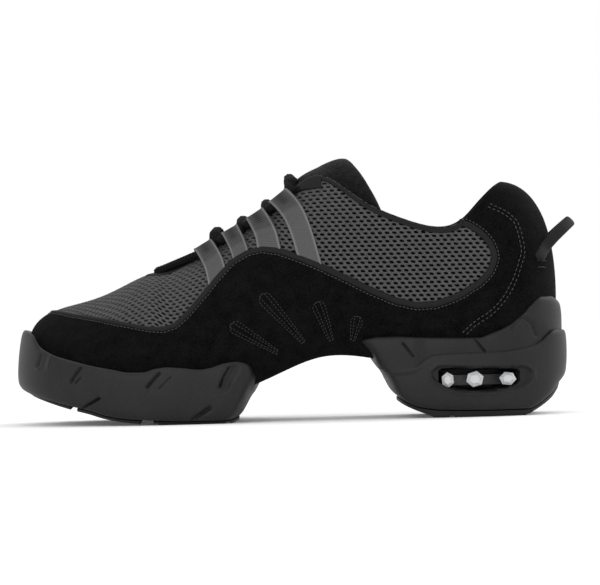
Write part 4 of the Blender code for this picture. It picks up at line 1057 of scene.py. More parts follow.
# Rings between two side lines, from a table of height share, outward distance and end reach whose
# corners are cut off to round the profile.
def unitRings(isHeel, lowLine, highLine, rows, sides=330, turns=60, cuts=2):
    rings = []
    for share, out, end in cornersCut(rows, cuts):
        ring = unitOutline(isHeel, out, end, sides, turns)
        along = toAlong(ring[:, 0])
        bottom, top = eased(lowLine, along), eased(highLine, along)
        ring[:, 2] = (bottom + (top - bottom) * share) * shoe["lipHeight"]
        if rings:
            gap = int(np.abs(ring[:, 2] - rings[-1][:, 2]).max() / 0.0009)
            last = rings[-1]
            rings += [last + (ring - last) * (k + 1) / (gap + 1) for k in range(gap)]
        rings.append(ring)
    return rings


# Distance of side-view points to a polyline, everything in millimetres.
def strokeDistance(back, up, line):
    best = np.full(back.shape, 1e9)
    for (ax, az), (bx, bz) in zip(line[:-1], line[1:]):
        dx, dz = bx - ax, bz - az
        t = np.clip(((back - ax) * dx + (up - az) * dz) / (dx * dx + dz * dz), 0, 1)
        best = np.minimum(best, np.hypot(back - ax - t * dx, up - az - t * dz))
    return best


# How far inside a window's outline a side-view point lies, in metres: the least of the distances to
# its lower line, its upper line and its ends.
def windowInside(rows, along, up):
    table = np.array(cornersCut(rows, 2))
    z = up / shoe["seatHeight"]
    low, high = np.interp(along, table[:, 0], table[:, 1]), np.interp(along, table[:, 0], table[:, 2])
    ends = np.minimum(along - table[0, 0], table[-1, 0] - along) * shoe["soleLength"]
    return np.minimum(np.minimum(z - low, high - z) * shoe["seatHeight"], ends)


# A closed solid through rings, its two ends closed by strips across.
def ringSolid(name, rings, material, shade=None):
    count = len(rings[0])
    index = np.arange(count * len(rings)).reshape(len(rings), count).T
    i = np.arange(count)
    k = (i + 1) % count
    quads = np.stack([index[i, :-1], index[i, 1:], index[k, 1:], index[k, :-1]], axis=-1)
    faces = quads.reshape(-1, 4).tolist()
    j = np.arange(count // 2)
    for ring, turned in ((index[:, 0], False), (index[:, -1], True)):
        strips = np.stack([ring[j], ring[j + 1], ring[count - j - 1], ring[(count - j) % count]], axis=-1)
        faces += [face[::-1] if turned else face for face in withoutRepeats(strips)]
    piece = newMesh(name, np.concatenate(rings), faces, material)
    # painted shade in grooves and pockets, kept as a point attribute that the rubber's colour reads
    if shade is not None:
        setValues(piece, "crease", shade)
    return turnedOut(piece)


# The last, filled and closed over its top: what the sole units are cut by.
def lastSolid(grow):
    u = np.arange(2 * shoe["rows"] * 10) / 10
    n = len(u)
    edge = suedeTop(u)[:, None]
    low, high = edge * np.linspace(0, 1, 26)[None], edge + (1 - edge) * np.linspace(0.05, 1, 12)[None]
    v = np.concatenate([low, high], axis=1)
    lift = np.where(v <= edge, shoe["suedeStep"], 0.0) + grow
    lift[:, 0] = grow
    side = skin(u[:, None], v, lift)
    down = np.array([0, 0, -1.0])
    side[:, 0] = featherEdge(u) + (outward(u) + down) * grow
    mirror = (-np.arange(n)) % n
    middle = (side[:, 0] + side[mirror, 0]) / 2
    points = np.concatenate([middle[:, None], side], axis=1)
    m = points.shape[1]
    index = np.arange(n * m).reshape(n, m)
    index[:, 0] = np.where(np.arange(n) > n // 2, index[mirror, 0], index[:, 0])
    ridge = halfWay(u) >= shoe["ridge"]
    points[:, -1] = np.where(ridge[:, None], (points[:, -1] + points[mirror, -1]) / 2, points[:, -1])
    index[:, -1] = np.where(ridge & (np.arange(n) > n // 2), index[mirror, -1], index[:, -1])
    index[0, 0], index[n // 2, 0] = index[0, 1], index[n // 2, 1]
    i, k = np.arange(n), (np.arange(n) + 1) % n
    quads = np.stack([index[i, :-1], index[i, 1:], index[k, 1:], index[k, :-1]], axis=-1).reshape(-1, 4)
    top, i = index[:, -1], np.arange(n // 2)
    lid = np.stack([top[i], top[(n - i) % n], top[(n - i - 1) % n], top[i + 1]], axis=-1)
    return newMesh("last_solid", points, withoutRepeats(np.concatenate([quads, lid])), None, smooth=False)


# Cuts one solid out of another and shades the rest smooth.
def carved(piece, cutter):
    cut = piece.modifiers.new("cut", "BOOLEAN")
    cut.operation, cut.solver, cut.object = "DIFFERENCE", "EXACT", cutter
    bpy.context.view_layer.update()
    graph = bpy.context.evaluated_depsgraph_get()
    mesh = bpy.data.meshes.new_from_object(piece.evaluated_get(graph))
    piece.modifiers.clear()
    piece.data = mesh
    mesh.shade_smooth()
    mesh.set_sharp_from_angle(angle=math.radians(38))
    return piece


# Moves ring points out along their outline's normal by a field of side-view place. The second result is
# painted shade for what lies deep: faint in grooves and dents, full in the window pockets.
def pushed(rings, field):
    made, paintedShades = [], []
    for ring in rings:
        ahead = np.roll(ring, -1, axis=0) - np.roll(ring, 1, axis=0)
        out = unit(np.stack([ahead[:, 1], -ahead[:, 0], np.zeros(len(ring))], axis=-1))
        centre = ring.mean(axis=0)
        out *= np.sign(((ring - centre) * out).sum(-1, keepdims=True)).mean() or 1
        back = toAlong(ring[:, 0]) * shoe["soleLength"] * 1000
        moved = field(back, ring[:, 2] * 1000, ring)
        made.append(ring + out * moved[:, None])
        # painted shade: up to 0.3 in grooves and dents, 1 in the window pockets
        paintedShades.append(np.clip((-moved - 0.0006) / 0.0024, 0, 0.3) * (np.abs(moved) < 0.003) + (moved < -0.003))
    return made, np.concatenate(paintedShades)


print("units next", flush=True)
cutter = lastSolid(0.0001)


# The side's relief: each scoop is a bell across its line, with a softer one beside it, a swelling after
# it and another at its foot. The toe leans back above and out below.
def makeForefoot():
    def field(back, up, ring):
        out = np.zeros(back.shape)
        for line, half in forefoot["scoops"]:
            out -= 0.0013 * bell(strokeDistance(back, up, line), 0.65 * half)
            out -= 0.0004 * bell(strokeDistance(back, up, [(a - 2.6, z - 0.6) for a, z in line]), 1.8 * half)
            out += 0.00025 * bell(strokeDistance(back, up, [(a - 4.8, z - 0.6) for a, z in line]), 0.8 * half)
            out += 0.0004 * bell(np.hypot(back - line[-1][0], up - line[-1][1] + 1.2), 0.9)
        for line, half in forefoot["nicks"]:
            out -= (0.0017 if half > 0.6 else 0.0006) * bell(strokeDistance(back, up, line), 0.8 * half)
        out -= 0.0010 * smoothStep(3.4, 1.0, strokeDistance(back, up, forefoot["endScoop"]))
        out += 0.0014 * smoothStep(248.0, 266.0, back) * np.clip((33 - up) / 13, -1, 1)
        return out

    rings = unitRings(False, forefoot["bottom"], forefoot["lip"], forefoot["rings"])
    rings, shade = pushed(rings, field)
    piece = ringSolid("forefoot_unit", rings, looks["rubber"], shade)
    return shown(carved(piece, cutter), ["forefoot_midsole"])


# The same for the heel: creases, the arch line round the back, the recess with a lip round it, the
# front's fuller end, and the windows, pushed in to their depth.
def makeHeel():
    def field(back, up, ring, isUpper=False):
        out = np.zeros(back.shape)
        for line, half in heel["creases"]:
            out -= 0.0010 * bell(strokeDistance(back, up, line), 0.7 * half)
            out -= 0.0004 * smoothStep(5.5, 0.5, strokeDistance(back, up, [(a - 3, z) for a, z in line]))
        out -= 0.0010 * bell(strokeDistance(back, up, heel["arch"]), 1.0)
        out -= 0.0006 * smoothStep(9.0, 3.0, strokeDistance(back, up, heel["underArch"]))
        along = back / 1000 / shoe["soleLength"]
        recess = windowInside(heel["recess"], along, up / 1000)
        opening = windowInside(heel["opening"], along, up / 1000)
        sideways = np.abs(ring[:, 1]) > 0.012
        out -= 0.0014 * smoothStep(-0.0005, 0.0009, recess) * sideways
        out += 0.0004 * bell(recess + 0.0009, 0.0007) * sideways
        tier = eased(heel["tier"], along) * shoe["lipHeight"] * 1000
        front = smoothStep(0.256, 0.284, along)
        out += front * (0.0021 if isUpper else 0.0010 * smoothStep(tier - 3.5, tier - 0.5, up))
        out -= heel["windowDepth"] * smoothStep(-0.0001, 0.0005, opening) * sideways
        return out

    lower = unitRings(True, heel["bottom"], heel["tier"], heel["lowerRings"], cuts=3)
    upperPart = unitRings(True, heel["tier"], heel["lip"], heel["upperRings"])
    lower, lowPaintedShade = pushed(lower, field)
    upperPart, highPaintedShade = pushed(upperPart, lambda *where: field(*where, isUpper=True))
    piece = ringSolid("heel_unit", lower + upperPart, looks["rubber"], np.concatenate([lowPaintedShade, highPaintedShade]))
    return shown(carved(piece, cutter), ["heel_midsole"])


makeForefoot()
makeHeel()
bpy.data.objects.remove(cutter)

# Stones in millimetres and radians: shift to the front, half height, half width, turn. Rings: distance
# behind the front, None for the pod's inner face, and size.
pods = {
    "stones": [(3.2, 4.9, 3.2, 0.4), (2.6, 5.1, 4.4, 0.1), (0.1, 4.4, 4.2, 0.7)],
    "rings": [(0.0, 0.55), (0.0012, 1.0), (None, 0.9)],
    "proud": 0.0004, "raised": 0.0006, "twist": 0.2, "squat": 0.00078,
}


# The clear pods: cut stones with a flat hexagonal front on a wide girdle, each ring twisted on.
def makePods():
    for name in [f"pod_{word}_{number}" for word in ("outer", "inner") for number in (1, 2, 3)]:
        places = np.array([tuple(corner.co) for corner in bpy.data.objects[name].data.vertices])
        low, high = places.min(axis=0), places.max(axis=0)
        shift, tall, wide, turned = pods["stones"][int(name[-1]) - 1]
        turn = np.arange(6) / 6 * 2 * math.pi + turned
        way = np.sign(low[1] + high[1])
        inner, outer = (low[1], high[1]) if way > 0 else (high[1], low[1])
        centre = (low + high) / 2 + np.array([-shift / 1000, 0, pods["raised"]])
        points = []
        for row, (behind, share) in enumerate(pods["rings"]):
            sideways = np.cos(turn + pods["twist"] * row) * share * wide / 1000
            upwards = np.sin(turn + pods["twist"] * row) * share * tall * pods["squat"]
            deep = inner if behind is None else outer + way * (pods["proud"] - behind)
            points.append(np.stack([centre[0] + sideways, np.full(6, deep), centre[2] + upwards], axis=1))
        faces = gridQuads(3, 6, wrapM=True).tolist() + [list(range(6)), list(range(17, 11, -1))]
        piece = newMesh(name + "_shown", np.concatenate(points), faces, looks["clear"], smooth=False)
        shown(turnedOut(piece), [name])


makePods()

# Treads: the CAD's pads again with grooves across, and notches where blocks part

treadMarks = {
    "heel": {"notches": [(57.6, 1.1), (20.2, 0.9)], "pitch": 5.6, "from": 22.0, "to": 64.0},
    "fore": {"notches": [(201.0, 1.3), (166.0, 0.9)], "pitch": 6.4, "from": 158.0, "to": 268.0},
}


# Width at a share of the length, along one half of an outline.
def halfWidth(half, bound):
    along = toAlong(half[:, 0])
    order = np.argsort(along)
    return np.interp(bound, along[order], half[order, 1])


# A tread pad: its underside rises at each groove, a rounded square wave along the shoe.
def makeTread(name, isHeel, low, line, between, marks):
    end = (heel["lowerRings"] if isHeel else forefoot["rings"])[1][2]
    rings = []
    for out, rows, gap in (
        (-0.0030, line, 0.0), (0.0026, line, 0.0), (0.0040, line, -0.0005), (0.0048, low, 0.0005),
    ):
        ring = unitOutline(isHeel, out, end, 260, 60)
        along = toAlong(ring[:, 0])
        outerSide, innerSide = ring[:261], ring[:-261:-1]
        for bound, past in ((between[0], along < between[0]), (between[1], along > between[1])):
            limits = halfWidth(outerSide, bound), halfWidth(innerSide, bound)
            ring[:, 1] = np.where(past, np.clip(ring[:, 1], *limits), ring[:, 1])
        along = np.clip(along, *between)
        ring[:, 0] = toX(along)
        ring[:, 2] = eased(rows, along) * shoe["lipHeight"] - gap
        back = along * shoe["soleLength"] * 1000
        if rows is line:
            wave = np.cos(2 * math.pi * (back - marks["from"]) / marks["pitch"])
            inPad = smoothStep(marks["from"], marks["from"] + 3, back)
            inPad = inPad * smoothStep(marks["to"], marks["to"] - 3, back)
            ring[:, 2] += 0.0008 * smoothStep(0.80, 0.95, wave) * inPad * (out < 0)
            for spot, half in marks["notches"]:
                ring[:, 2] += 0.0008 * smoothStep(half + 0.4, half - 0.2, np.abs(back - spot))
        rings.append(ring)
    piece = ringSolid(name, rings, looks["tread"])
    piece.data.set_sharp_from_angle(angle=math.radians(35))
    return shown(piece, [name.replace("_shown", "")])


makeTread("heel_tread_shown", True, heel["bottom"], heel["tread"], (-0.1, 1.1), treadMarks["heel"])
for number, between in enumerate(((0.560, 0.754), (0.778, 0.892), (0.904, 1.010)), 1):
    name = f"forefoot_tread_{number}_shown"
    makeTread(name, False, forefoot["bottom"], forefoot["tread"], between, treadMarks["fore"])

# Lace loops

loops = {
    "edges": [
        (0.668, 0.637, 0.647, 0.615), (0.618, 0.588, 0.602, 0.574),
        (0.571, 0.541, 0.558, 0.514), (0.530, 0.498, 0.486, 0.441),
    ],
    "fold": 0.0120, "tubeLong": 0.0038, "down": 0.0016, "lift": 0.0005, "web": 0.0011, "tube": 0.0021,
    "across": 21, "ribPitch": 0.00085, "ribHigh": 0.00010, "cordPitch": 0.0011, "cordHigh": 0.00028,
}


# Middle of a loop's webbing: distance below the throat's edge and height above the skin.
def foldPath(length):
    base = loops["lift"] + loops["web"] / 2
    doubled = base + loops["web"] + 0.0003
    tall = loops["tube"] + loops["web"] / 2 - 0.0005
    centre = (loops["tubeLong"] + loops["down"] - 0.0004, base + tall)
    turn = np.radians(np.linspace(50, 270, 26))
    curl = np.stack([centre[0] + loops["tubeLong"] * np.cos(turn), centre[1] + tall * np.sin(turn)], axis=1)
    flat = [(length, 0.0004), (length - 0.0018, 0.0008)]
    flat += [(d, base - 0.0002) for d in np.linspace(length - 0.004, loops["fold"] + 0.003, 5)]
    start = flat + [(loops["fold"] + 0.0012, base + 0.0006), (loops["fold"] - 0.0006, doubled)]
    end = [(loops["fold"] * 0.6, base), (loops["fold"] - 0.0008, base)]
    return evenPath(cornersCut(np.concatenate([start, curl, end]), 2), 170)


# One loop: the fold path carried over the skin, ribbed across, with a raised cord along each selvedge, and for
# each point its painted shade and highlight.
def makeLoop(edges, side):
    front, rear, footFront, footRear = edges
    share = np.linspace(0, 1, loops["across"])
    topU = stationAt(front + (rear - front) * share, topLine)
    run = np.linspace(5, 12, 500)
    low = np.interp(run, panel["lowU"], panel["lowV"])
    footU = np.interp(footFront + (footRear - footFront) * share, toAlong(profile(run, low)[:, 0]), run)
    footV = np.interp(footU, run, low)
    sidewise = 2 * share - 1
    selvedge = bell(np.abs(sidewise) - 0.88, 0.10)
    whole = np.linalg.norm(profile(footU, footV) - profile(topU, 1.0), axis=-1).mean()
    path = foldPath(float(whole) - 0.0022)
    heading = unit(np.gradient(path, axis=0))
    normal = np.stack([-heading[:, 1], heading[:, 0]], axis=1)
    turns = 2 * math.pi * reached(path)[:, None]
    wave = np.sin(turns / loops["ribPitch"])
    rib = loops["ribHigh"] * wave * (1 - selvedge)[None]
    cord = loops["cordHigh"] * selvedge[None] * (1 + 0.3 * np.sin(turns / loops["cordPitch"]))
    layers = []
    for way in (1, -1):
        lift = way * (loops["web"] / 2 * (1 - 0.35 * (np.abs(sidewise) > 0.97))[None] + rib + cord)
        line = path[:, None] + normal[:, None] * lift[..., None]
        part = np.clip(line[..., 0] / whole, 0, None)
        u = topU[None] + (footU - topU)[None] * part
        v = 1 + (footV - 1)[None] * part
        around = onSide(u, side)
        over = np.clip(-line[..., 0], 0, None)[..., None]
        layers.append(skin(around, np.clip(v, 0, 1), line[..., 1]) + topHeading(around) * over)
    # Painted shading: shade on the tube's raised middle, on the fold and in the ribs' valleys, and a painted
    # highlight on the selvedge.
    raised = smoothStep(0.0030, 0.0048, path[:, 1])[:, None]
    middle = bell(sidewise, 0.42)[None]
    folded = smoothStep(loops["fold"] + 0.001, loops["fold"] - 0.001, path[:, 0])[:, None]
    shade = 0.26 + raised * middle * 0.45 + 0.30 * folded - (0.16 + 0.12 * folded) * wave
    shade = np.clip(shade * (1 - selvedge)[None] - 0.25 * selvedge[None], -0.4, 1)
    return *shell(layers), np.tile(shade.ravel(), 2)


# The four loops of each side.
def makeLoops():
    for word, side in (("outer", 1), ("inner", -1)):
        for number, edges in enumerate(loops["edges"], 1):
            points, faces, shade = makeLoop(edges, side)
            piece = newMesh(f"webbing_{word}_{number}", points, faces, looks["webbing"])
            # the painted shade and highlight, read by the webbing's base colour
            setValues(piece, "shade", shade)
            shown(turnedOut(piece), [f"lace_loop_{word}_{number}"])


makeLoops()

# Laces: gaps are the crossings' shares of the length, cross how far one end passes over the other and
# how deep both lie. At a loop: shift from its edge or middle, depth below the throat, lift, flatness.
lace = {
    "half": 0.0023, "gaps": [0.6275, 0.5795, 0.5355, 0.491], "front": 0.748, "sunk": 0.0026,
    "cross": [(1.9, 0.0), (1.6, 0.0006), (1.4, 0.0016), (1.4, 0.0014)],
    "loop": [(0.004, 0.0036, 0.0031, 0.78), (0.0, 0.0048, 0.0032, 0.62), (-0.004, 0.0036, 0.0031, 0.78)],
    "ends": [(6.95, 0.0012, 0.0016, 0.9), (6.62, 0.0034, 0.0002, 0.55)],
    "sides": 24, "caps": 4, "braidHigh": 0.11, "braidPitch": 0.0042,
}


# One half of the cord as points and flatness: from the front bar through the loops, which it takes on
# alternate sides, over the tongue between them and into the top tab.
def laceEnd(first):
    found = []

    def put(point, flat):
        found.append((*point, flat))

    u = float(stationAt(lace["front"], topLine))
    put(bridgeSkin(u, 0.0 * first, lace["half"] + 0.0014 - lace["sunk"]), 1.0)
    put(bridgeSkin(u - 0.05, -0.75 * first, lace["half"] + 0.0010 - lace["sunk"]), 1.0)
    for number, (front, rear, _, _) in enumerate(loops["edges"]):
        even = number % 2 == 0
        side = -first if even else first
        for start, (shift, down, lift, flat) in zip((front, (front + rear) / 2, rear), lace["loop"]):
            at = float(stationAt(start + shift, topLine))
            put(skin(onSide(at, -side), float(belowTop(at, down)[0]), lift), flat)
        gap = float(stationAt(lace["gaps"][number], topLine))
        apart, deep = lace["cross"][number]
        lifted = lace["half"] * (1.0 + apart * (even == (first > 0))) + 0.0003 - lace["sunk"] - deep
        for back, share in ((0, 0.45), (0.05, 0.0), (0.1, -0.45)):
            lift = lifted * 0.7 + 0.0012 if share else lifted
            put(bridgeSkin(gap - back, share * side, lift), 0.8 if number else 1.0)
    for at, down, lift, flat in lace["ends"]:
        put(skin(onSide(at, side), float(belowTop(at, down)[0]), lift), flat)
    return np.array(found)


# Both halves joined at the front, smoothed, and swept by a section whose radius carries a braid: two
# sine waves that cross.
def makeLaces():
    points = np.concatenate([laceEnd(-1)[:0:-1], laceEnd(1)])
    path = evenPath(smoothPath(points, 900), 1200)
    path, flat = path[:, :3], path[:, 3]
    for _ in range(30):
        path[1:-1] = path[1:-1] * 0.5 + (path[2:] + path[:-2]) * 0.25
    centre = np.stack([path[:, 0], centreLine(toAlong(path[:, 0])), path[:, 2] - 0.03], axis=1)
    wanted = np.cross(unit(np.gradient(path, axis=0)), unit(path - centre))

    def braid(along, turn):
        wind = 2 * math.pi * along / lace["braidPitch"]
        return lace["braidHigh"] * np.sin(4 * turn + wind) * np.sin(4 * turn - wind)

    wide, thick = lace["half"] * (1.06 - 0.06 * flat), lace["half"] * flat
    tube = tubePoints(path, wanted, wide, thick, lace["sides"], lace["caps"], braid)
    piece = newMesh("lace", *tubeMesh(tube), looks["lace"])
    print("lace length", round(float(reached(path)[-1]), 3), flush=True)
    shown(turnedOut(piece), ["laces"])


makeLaces()

# Tongue and insole

# base, top and wings are values of u; columns is how many run in under the throat's edge on each side.
tongue = {
    "base": 10.85, "top": 5.08, "wings": 4.35, "rounding": 1.25, "depth": 0.0026, "thick": 0.0045,
    "overlap": 0.007, "columns": 10, "sunk": 0.0031, "puff": 0.0004, "groove": 0.00025, "soft": 0.6,
}


# A padded closed form: two skins below the throat's arch, whose thickness runs out in a half circle
# towards its edge; the upper part puffs out where the plush is.
def makeTongue():
    columns = tongue["columns"]
    t = np.linspace(0, 1, 130) ** 0.9
    q = np.linspace(-1, 1, 61)
    top = tongue["top"] + (tongue["wings"] - tongue["top"]) * np.abs(q) ** tongue["rounding"]
    u = tongue["base"] + (top[None] - tongue["base"]) * t[:, None]
    edgeU = u[:, 0]
    tucked = np.linspace(tongue["overlap"], 0.0004, columns)
    tuckedV = np.stack([belowTop(edgeU, d) for d in tucked], axis=1)
    fromTop = (1 - t)[:, None] * 0.085
    inwards = tongue["overlap"] - tucked
    fromSide = np.concatenate([inwards, np.full(len(q), 0.03), inwards[::-1]])
    radius = tongue["thick"] / 2
    near = np.clip(np.minimum(fromTop, fromSide[None]) / radius, 0, 1)
    full = np.sqrt(np.maximum(1 - (1 - near) ** 2, 0.0004))
    fuzz = smoothStep(6.75, 6.35, u)
    fuzzAll = np.pad(fuzz, ((0, 0), (columns, columns)), mode="edge")
    puffed = np.sin(math.pi * np.clip((1 - t)[:, None] * 4, 0, 1)) ** 0.5
    bulge = tongue["puff"] * smoothStep(6.6, 5.8, u) * puffed
    groove = tongue["groove"] * np.cos(q * 40)[None] * (1 - fuzz)
    layers = []
    middleU = u[:, len(q) // 2]
    sunk = tongue["sunk"] * smoothStep(6.9, 6.1, middleU) * smoothStep(5.0, 6.1, middleU)
    for way in (1, -1):
        depth = tongue["depth"] + sunk[:, None] + radius - way * radius * full
        middle = bridgeSkin(u, q[None], -depth[:, columns:-columns] + (bulge + groove) * (way > 0))
        outer = skin(edgeU[:, None], tuckedV, -depth[:, :columns])
        inner = skin(across(edgeU)[:, None], tuckedV[:, ::-1], -depth[:, -columns:])
        layers.append(np.concatenate([outer, middle, inner], axis=1))
    piece = newMesh("tongue_pad", *shell(layers), looks["tongue"])
    lining = np.maximum(fuzzAll, smoothStep(8.5, 7.5, edgeU)[:, None])
    setValues(piece, "fuzz", np.stack([fuzzAll, lining]))
    shown(turnedOut(piece), ["tongue"])


makeTongue()


# rows: share of the way to the middle line, height above the edge
insole = {
    "inset": 0.0029,
    "rows": [
        (0.0, 0.0026), (0.0, 0.0050), (0.012, 0.0058), (0.05, 0.0060), (0.3, 0.0059), (0.6, 0.0058),
        (0.85, 0.0058), (1.0, 0.0058),
    ],
}


# The insole: a sheet on the lasting margin with a rolled edge, from its edge ring inwards to the middle.
def makeInsole():
    u = np.arange(2 * shoe["rows"] * 10) / 10
    n = len(u)
    edge = featherEdge(u) - outward(u) * insole["inset"]
    middle = (edge + edge[(-np.arange(n)) % n]) / 2
    up = np.array([0.0, 0.0, 1.0])
    rows = [edge * (1 - share) + middle * share + up * high for share, high in insole["rows"]]
    faces = gridQuads(n, len(rows), wrapN=True)
    piece = newMesh("insole_cover", np.stack(rows, axis=1), faces, looks["cloth"], sharp=60)
    shown(piece, ["insole"])


makeInsole()

# Heel pull loop: feet as u and share of the heel's height, arms as distance behind the heel, share of
# the foot's width and share of the height.
pullLoop = {
    "feet": [(0.93, 0.672), (0.86, 0.685), (0.66, 0.715)],
    "arms": [(0.0046, 0.80, 0.756), (0.0108, 0.42, 0.806), (0.0138, 0.0, 0.829)],
    "halfWide": 0.0028, "halfThick": 0.0015, "lift": 0.0012, "squareness": 0.10,
}


# A squarish rubbery bar from one side of the heel to the other: a sin(2a)^2 ripple gives the corners.
def makePullLoop():
    points = []
    for u, up in pullLoop["feet"]:
        v = np.linspace(0.2, 0.95, 200)
        heights = profile(np.full(len(v), u), v)[:, 2]
        at = np.interp(up * shoe["heelHeight"], heights, v)
        points.append(skin(u, at, shoe["suedeStep"] + pullLoop["lift"]))
    back, first = profile(0.0, 0.62)[0], points[2]
    for behind, width, up in pullLoop["arms"]:
        points.append(np.array([back + behind, first[1] * width, up * shoe["heelHeight"]]))
    tip = points[-1]
    mirrored = [point * np.array([1, -1, 1]) for point in points[-2::-1]]
    path = evenPath(smoothPath(points + mirrored, 120), 150)
    for _ in range(12):
        path[1:-1] = path[1:-1] * 0.5 + (path[2:] + path[:-2]) * 0.25
    heading = tip - first
    wide = np.array([-heading[2], 0.0, heading[0]])

    def squared(along, turn):
        return pullLoop["squareness"] * np.sin(2 * turn) ** 2

    tube = tubePoints(path, wide, pullLoop["halfWide"], pullLoop["halfThick"], 28, 3, squared)
    piece = newMesh("heel_pull_loop", *tubeMesh(tube), looks["trim"])
    shown(turnedOut(piece), ["pull_loop"])


makePullLoop()

# Each kind: pitch, length, radius and lift, in metres. Lines are side-view millimetres.
stitch = {
    "edge": (0.0019, 0.0013, 0.00022, shoe["suedeStep"] + 0.00025),
    "seam": (0.0024, 0.0016, 0.00022, 0.0012),
    "secondSeam": (0.0024, 0.0016, 0.00022, 0.0014),
    "bar": (0.0016, 0.0011, 0.00022, 0.0016),
    "fan": (0.0017, 0.0011, 0.00019, shoe["suedeStep"] + 0.00012),
    "seamLine": [
        (37.0, 102.6), (29.2, 98.7), (23.5, 92.8), (20.8, 79.4), (22.3, 73.1), (26.9, 61.6), (35.6, 50.6),
        (45.8, 43.6), (50.2, 39.6),
    ],
    "bars": [[(15.4, 74.6), (10.6, 74.4)], [(15.0, 71.5), (11.4, 71.4)]],
    "fans": [  # tip, foot and half width of each loop
        ((163.5, 47.5), (141.0, 33.5), 3.0), ((148.3, 61.5), (128.5, 38.0), 3.2),
        ((121.8, 57.5), (115.0, 38.5), 3.0), ((102.2, 50.2), (105.0, 38.5), 2.8),
    ],
    "capsule": [(-1.0, 0.25), (-0.8, 0.8), (0.0, 1.0), (0.8, 0.8), (1.0, 0.25)],  # place and size of rings
    "jitter": 0.00006,
}


# Stitches: small capsules laid end to end along a path on the skin, their ends dipped by the square of
# the distance from the middle.
def stitchesOn(path, side, kind):
    pitch, long, radius, lift = stitch[kind]
    places, normal, _ = surfaceFrames(evenPath(path, 400), side, lift)
    length = reached(places)
    at = np.arange(pitch / 2, length[-1], pitch)

    def pick(values):
        return np.stack([np.interp(at, length, values[:, k]) for k in range(3)], axis=-1)

    spot, up = pick(places), unit(pick(normal))
    ahead = unit(pick(np.gradient(places, axis=0)))
    wide = np.cross(up, ahead)
    spot = spot + wide * rng.normal(0, stitch["jitter"], len(at))[:, None]
    turn = np.arange(6) / 6 * 2 * math.pi
    circle = np.cos(turn)[None, :, None] * wide[:, None] + np.sin(turn)[None, :, None] * up[:, None]
    rows = [
        (spot + ahead * (share * long / 2) + up * (-radius * 0.8 * share**2))[:, None] + radius * size * circle
        for share, size in stitch["capsule"]
    ]
    points = np.stack(rows, axis=1)
    starts = np.arange(len(points)) * 30
    faces = (gridQuads(len(rows), 6, wrapM=True)[None] + starts[:, None, None]).reshape(-1, 4).tolist()
    caps = [[5, 4, 3, 2, 1, 0], [24, 25, 26, 27, 28, 29]]
    faces += [[corner + int(start) for corner in cap] for start in starts for cap in caps]
    return points, faces


# Side-view points as a path of u and v.
def uvPath(points):
    return np.stack(placeAt(points), axis=1)


# Moves a path of u and v sideways on the skin by a distance: the two by two equations of its tangents.
def besides(path, distance):
    places, _, inwards = surfaceFrames(path, 1)
    u, v = path[:, 0], path[:, 1]
    alongU = (skin(u + 1e-3, v, 0) - places) / 1e-3
    alongV = (places - skin(u, v - 1e-3, 0)) / 1e-3
    g = np.stack([
        np.stack([(alongU * alongU).sum(-1), (alongU * alongV).sum(-1)], -1),
        np.stack([(alongU * alongV).sum(-1), (alongV * alongV).sum(-1)], -1),
    ], -2)
    want = np.stack([(alongU * inwards).sum(-1), (alongV * inwards).sum(-1)], -1) * distance
    step = np.linalg.solve(g, want[..., None])[..., 0]
    return np.stack([u + step[:, 0], np.clip(v + step[:, 1], 0.01, 0.999)], axis=1)


# A tapered loop of the side's fan: out along one flank, round the tip, back along the other.
def fanLoop(tip, foot, wide):
    tip, foot = np.array(tip, float), np.array(foot, float)
    heading = (tip - foot) / np.linalg.norm(tip - foot)
    sideways = np.array([-heading[1], heading[0]])
    turn = np.linspace(-math.pi / 2, math.pi / 2, 9)[:, None]
    head = tip - heading * wide + heading * wide * np.cos(turn) + sideways * wide * np.sin(turn)
    return np.concatenate([[foot - sideways * wide * 0.35], head, [foot + sideways * wide * 0.35]])


# All seams in one piece, and the fan on the side, each loop doubled by a narrower one, in another.
def makeStitches():
    edge, seam = besides(panelPath(), -0.0006), uvPath(smoothPath(stitch["seamLine"], 120))
    parts = []
    for side in (1, -1):
        parts.append(stitchesOn(edge, side, "edge"))
        parts.append(stitchesOn(seam, side, "seam"))
        parts.append(stitchesOn(besides(seam, 0.0019), side, "secondSeam"))
        for row in stitch["bars"]:
            parts.append(stitchesOn(uvPath(smoothPath(row, 20)), side, "bar"))
    shown(newMesh("stitches", *joined(parts), looks["thread"]))
    parts = []
    for side in (1, -1):
        for tip, foot, wide in stitch["fans"]:
            for narrow in (1.0, 0.45):
                path = uvPath(smoothPath(fanLoop(tip, foot, wide * narrow), 80))
                parts.append(stitchesOn(path, side, "fan"))
    shown(newMesh("fan_stitches", *joined(parts), looks["dimThread"]))


makeStitches()

for name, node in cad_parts.items():
    if name.startswith("pod_carrier"):
        node.data.materials.clear()
        node.data.materials.append(looks["bar"])

# Lamps: place, aim, size and power. The floor is a square of white paper.
stage = {
    "reach": 6.0, "paper": 0.94, "glow": 0.06, "world": 1.0,
    "lamps": {
        "key": ((-0.4, -1.2, 0.6), (-0.05, 0, 0.05), (0.9, 0.7), 3.5),
        "top": ((0.1, 0.1, 1.3), (-0.05, 0, 0.05), (1.2, 0.9), 1.5),
        "rim": ((0.9, 0.5, 0.7), (-0.05, 0, 0.06), (0.6, 0.8), 4),
    },
}


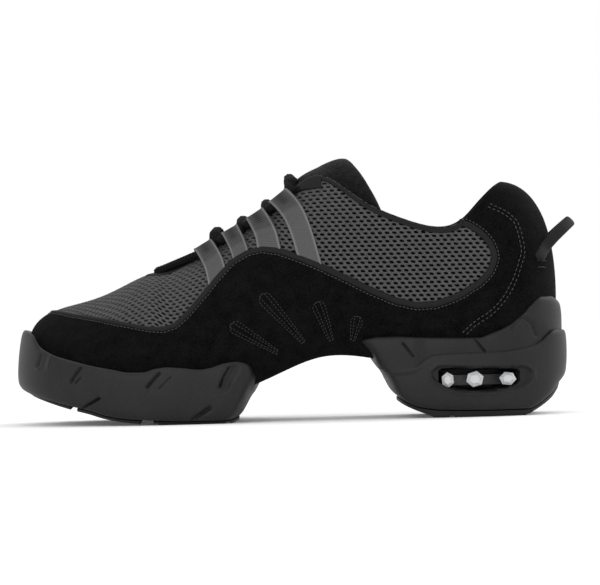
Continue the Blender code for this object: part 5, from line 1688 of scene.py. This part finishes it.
# Floor, world and lamps.
def makeStage():
    scene = bpy.context.scene
    reach = stage["reach"]
    corners = [(-reach, -reach, 0), (reach, -reach, 0), (reach, reach, 0), (-reach, reach, 0)]
    paper = Look("paper", [stage["paper"]] * 3, 0.95, Specular_IOR_Level=0.0, Emission_Strength=stage["glow"])
    paper.shader.inputs["Emission Color"].default_value = (1, 1, 1, 1)
    newMesh("floor", corners, [(0, 1, 2, 3)], paper.material)
    scene.world = bpy.data.worlds.new("studio")
    scene.world.use_nodes = True
    background = scene.world.node_tree.nodes["Background"]
    background.inputs["Color"].default_value = (1, 1, 1, 1)
    background.inputs["Strength"].default_value = stage["world"]
    for name, (where, aim, size, power) in stage["lamps"].items():
        light = bpy.data.lights.new(name, "AREA")
        light.shape, light.size, light.size_y, light.energy = "RECTANGLE", *size, power
        holder = bpy.data.objects.new(name, light)
        scene.collection.objects.link(holder)
        holder.location = where
        holder.rotation_mode = "QUATERNION"
        holder.rotation_quaternion = (Vector(aim) - Vector(where)).to_track_quat("-Z", "Y")
    print("stage and lamps placed", flush=True)


# pixel is the size of one of the photo's pixels at the shoe, in metres.
shot = {
    "pixel": 0.000489, "pixels": 600, "sensor": 36, "roll": 1.4, "raise": 0.8, "distance": 3.2,
    "centre": (-0.0862, 0.0, 0.0618), "clip": (0.05, 20),
}


# The photo's camera: far off and long, hardly raised, rolled so that the floor rises to the right. Its
# lens is the distance times the sensor over the width of the view.
def makeCamera():
    camera = bpy.data.cameras.new("camera")
    camera.sensor_width = shot["sensor"]
    camera.lens = shot["distance"] * shot["sensor"] / (shot["pixels"] * shot["pixel"])
    camera.clip_start, camera.clip_end = shot["clip"]
    holder = bpy.data.objects.new("camera", camera)
    bpy.context.scene.collection.objects.link(holder)
    bpy.context.scene.camera = holder
    tilt, roll = math.radians(shot["raise"]), math.radians(shot["roll"])
    back = Vector((0, -math.cos(tilt), math.sin(tilt)))
    right = Vector((1, 0, 0))
    up = back.cross(right)
    right, up = right * math.cos(roll) - up * math.sin(roll), up * math.cos(roll) + right * math.sin(roll)
    matrix = Matrix((right, up, back)).transposed().to_4x4()
    matrix.translation = Vector(shot["centre"]) + back * shot["distance"]
    holder.matrix_world = matrix


makeStage()
makeCamera()
bpy.context.scene.view_settings.view_transform = "Standard"
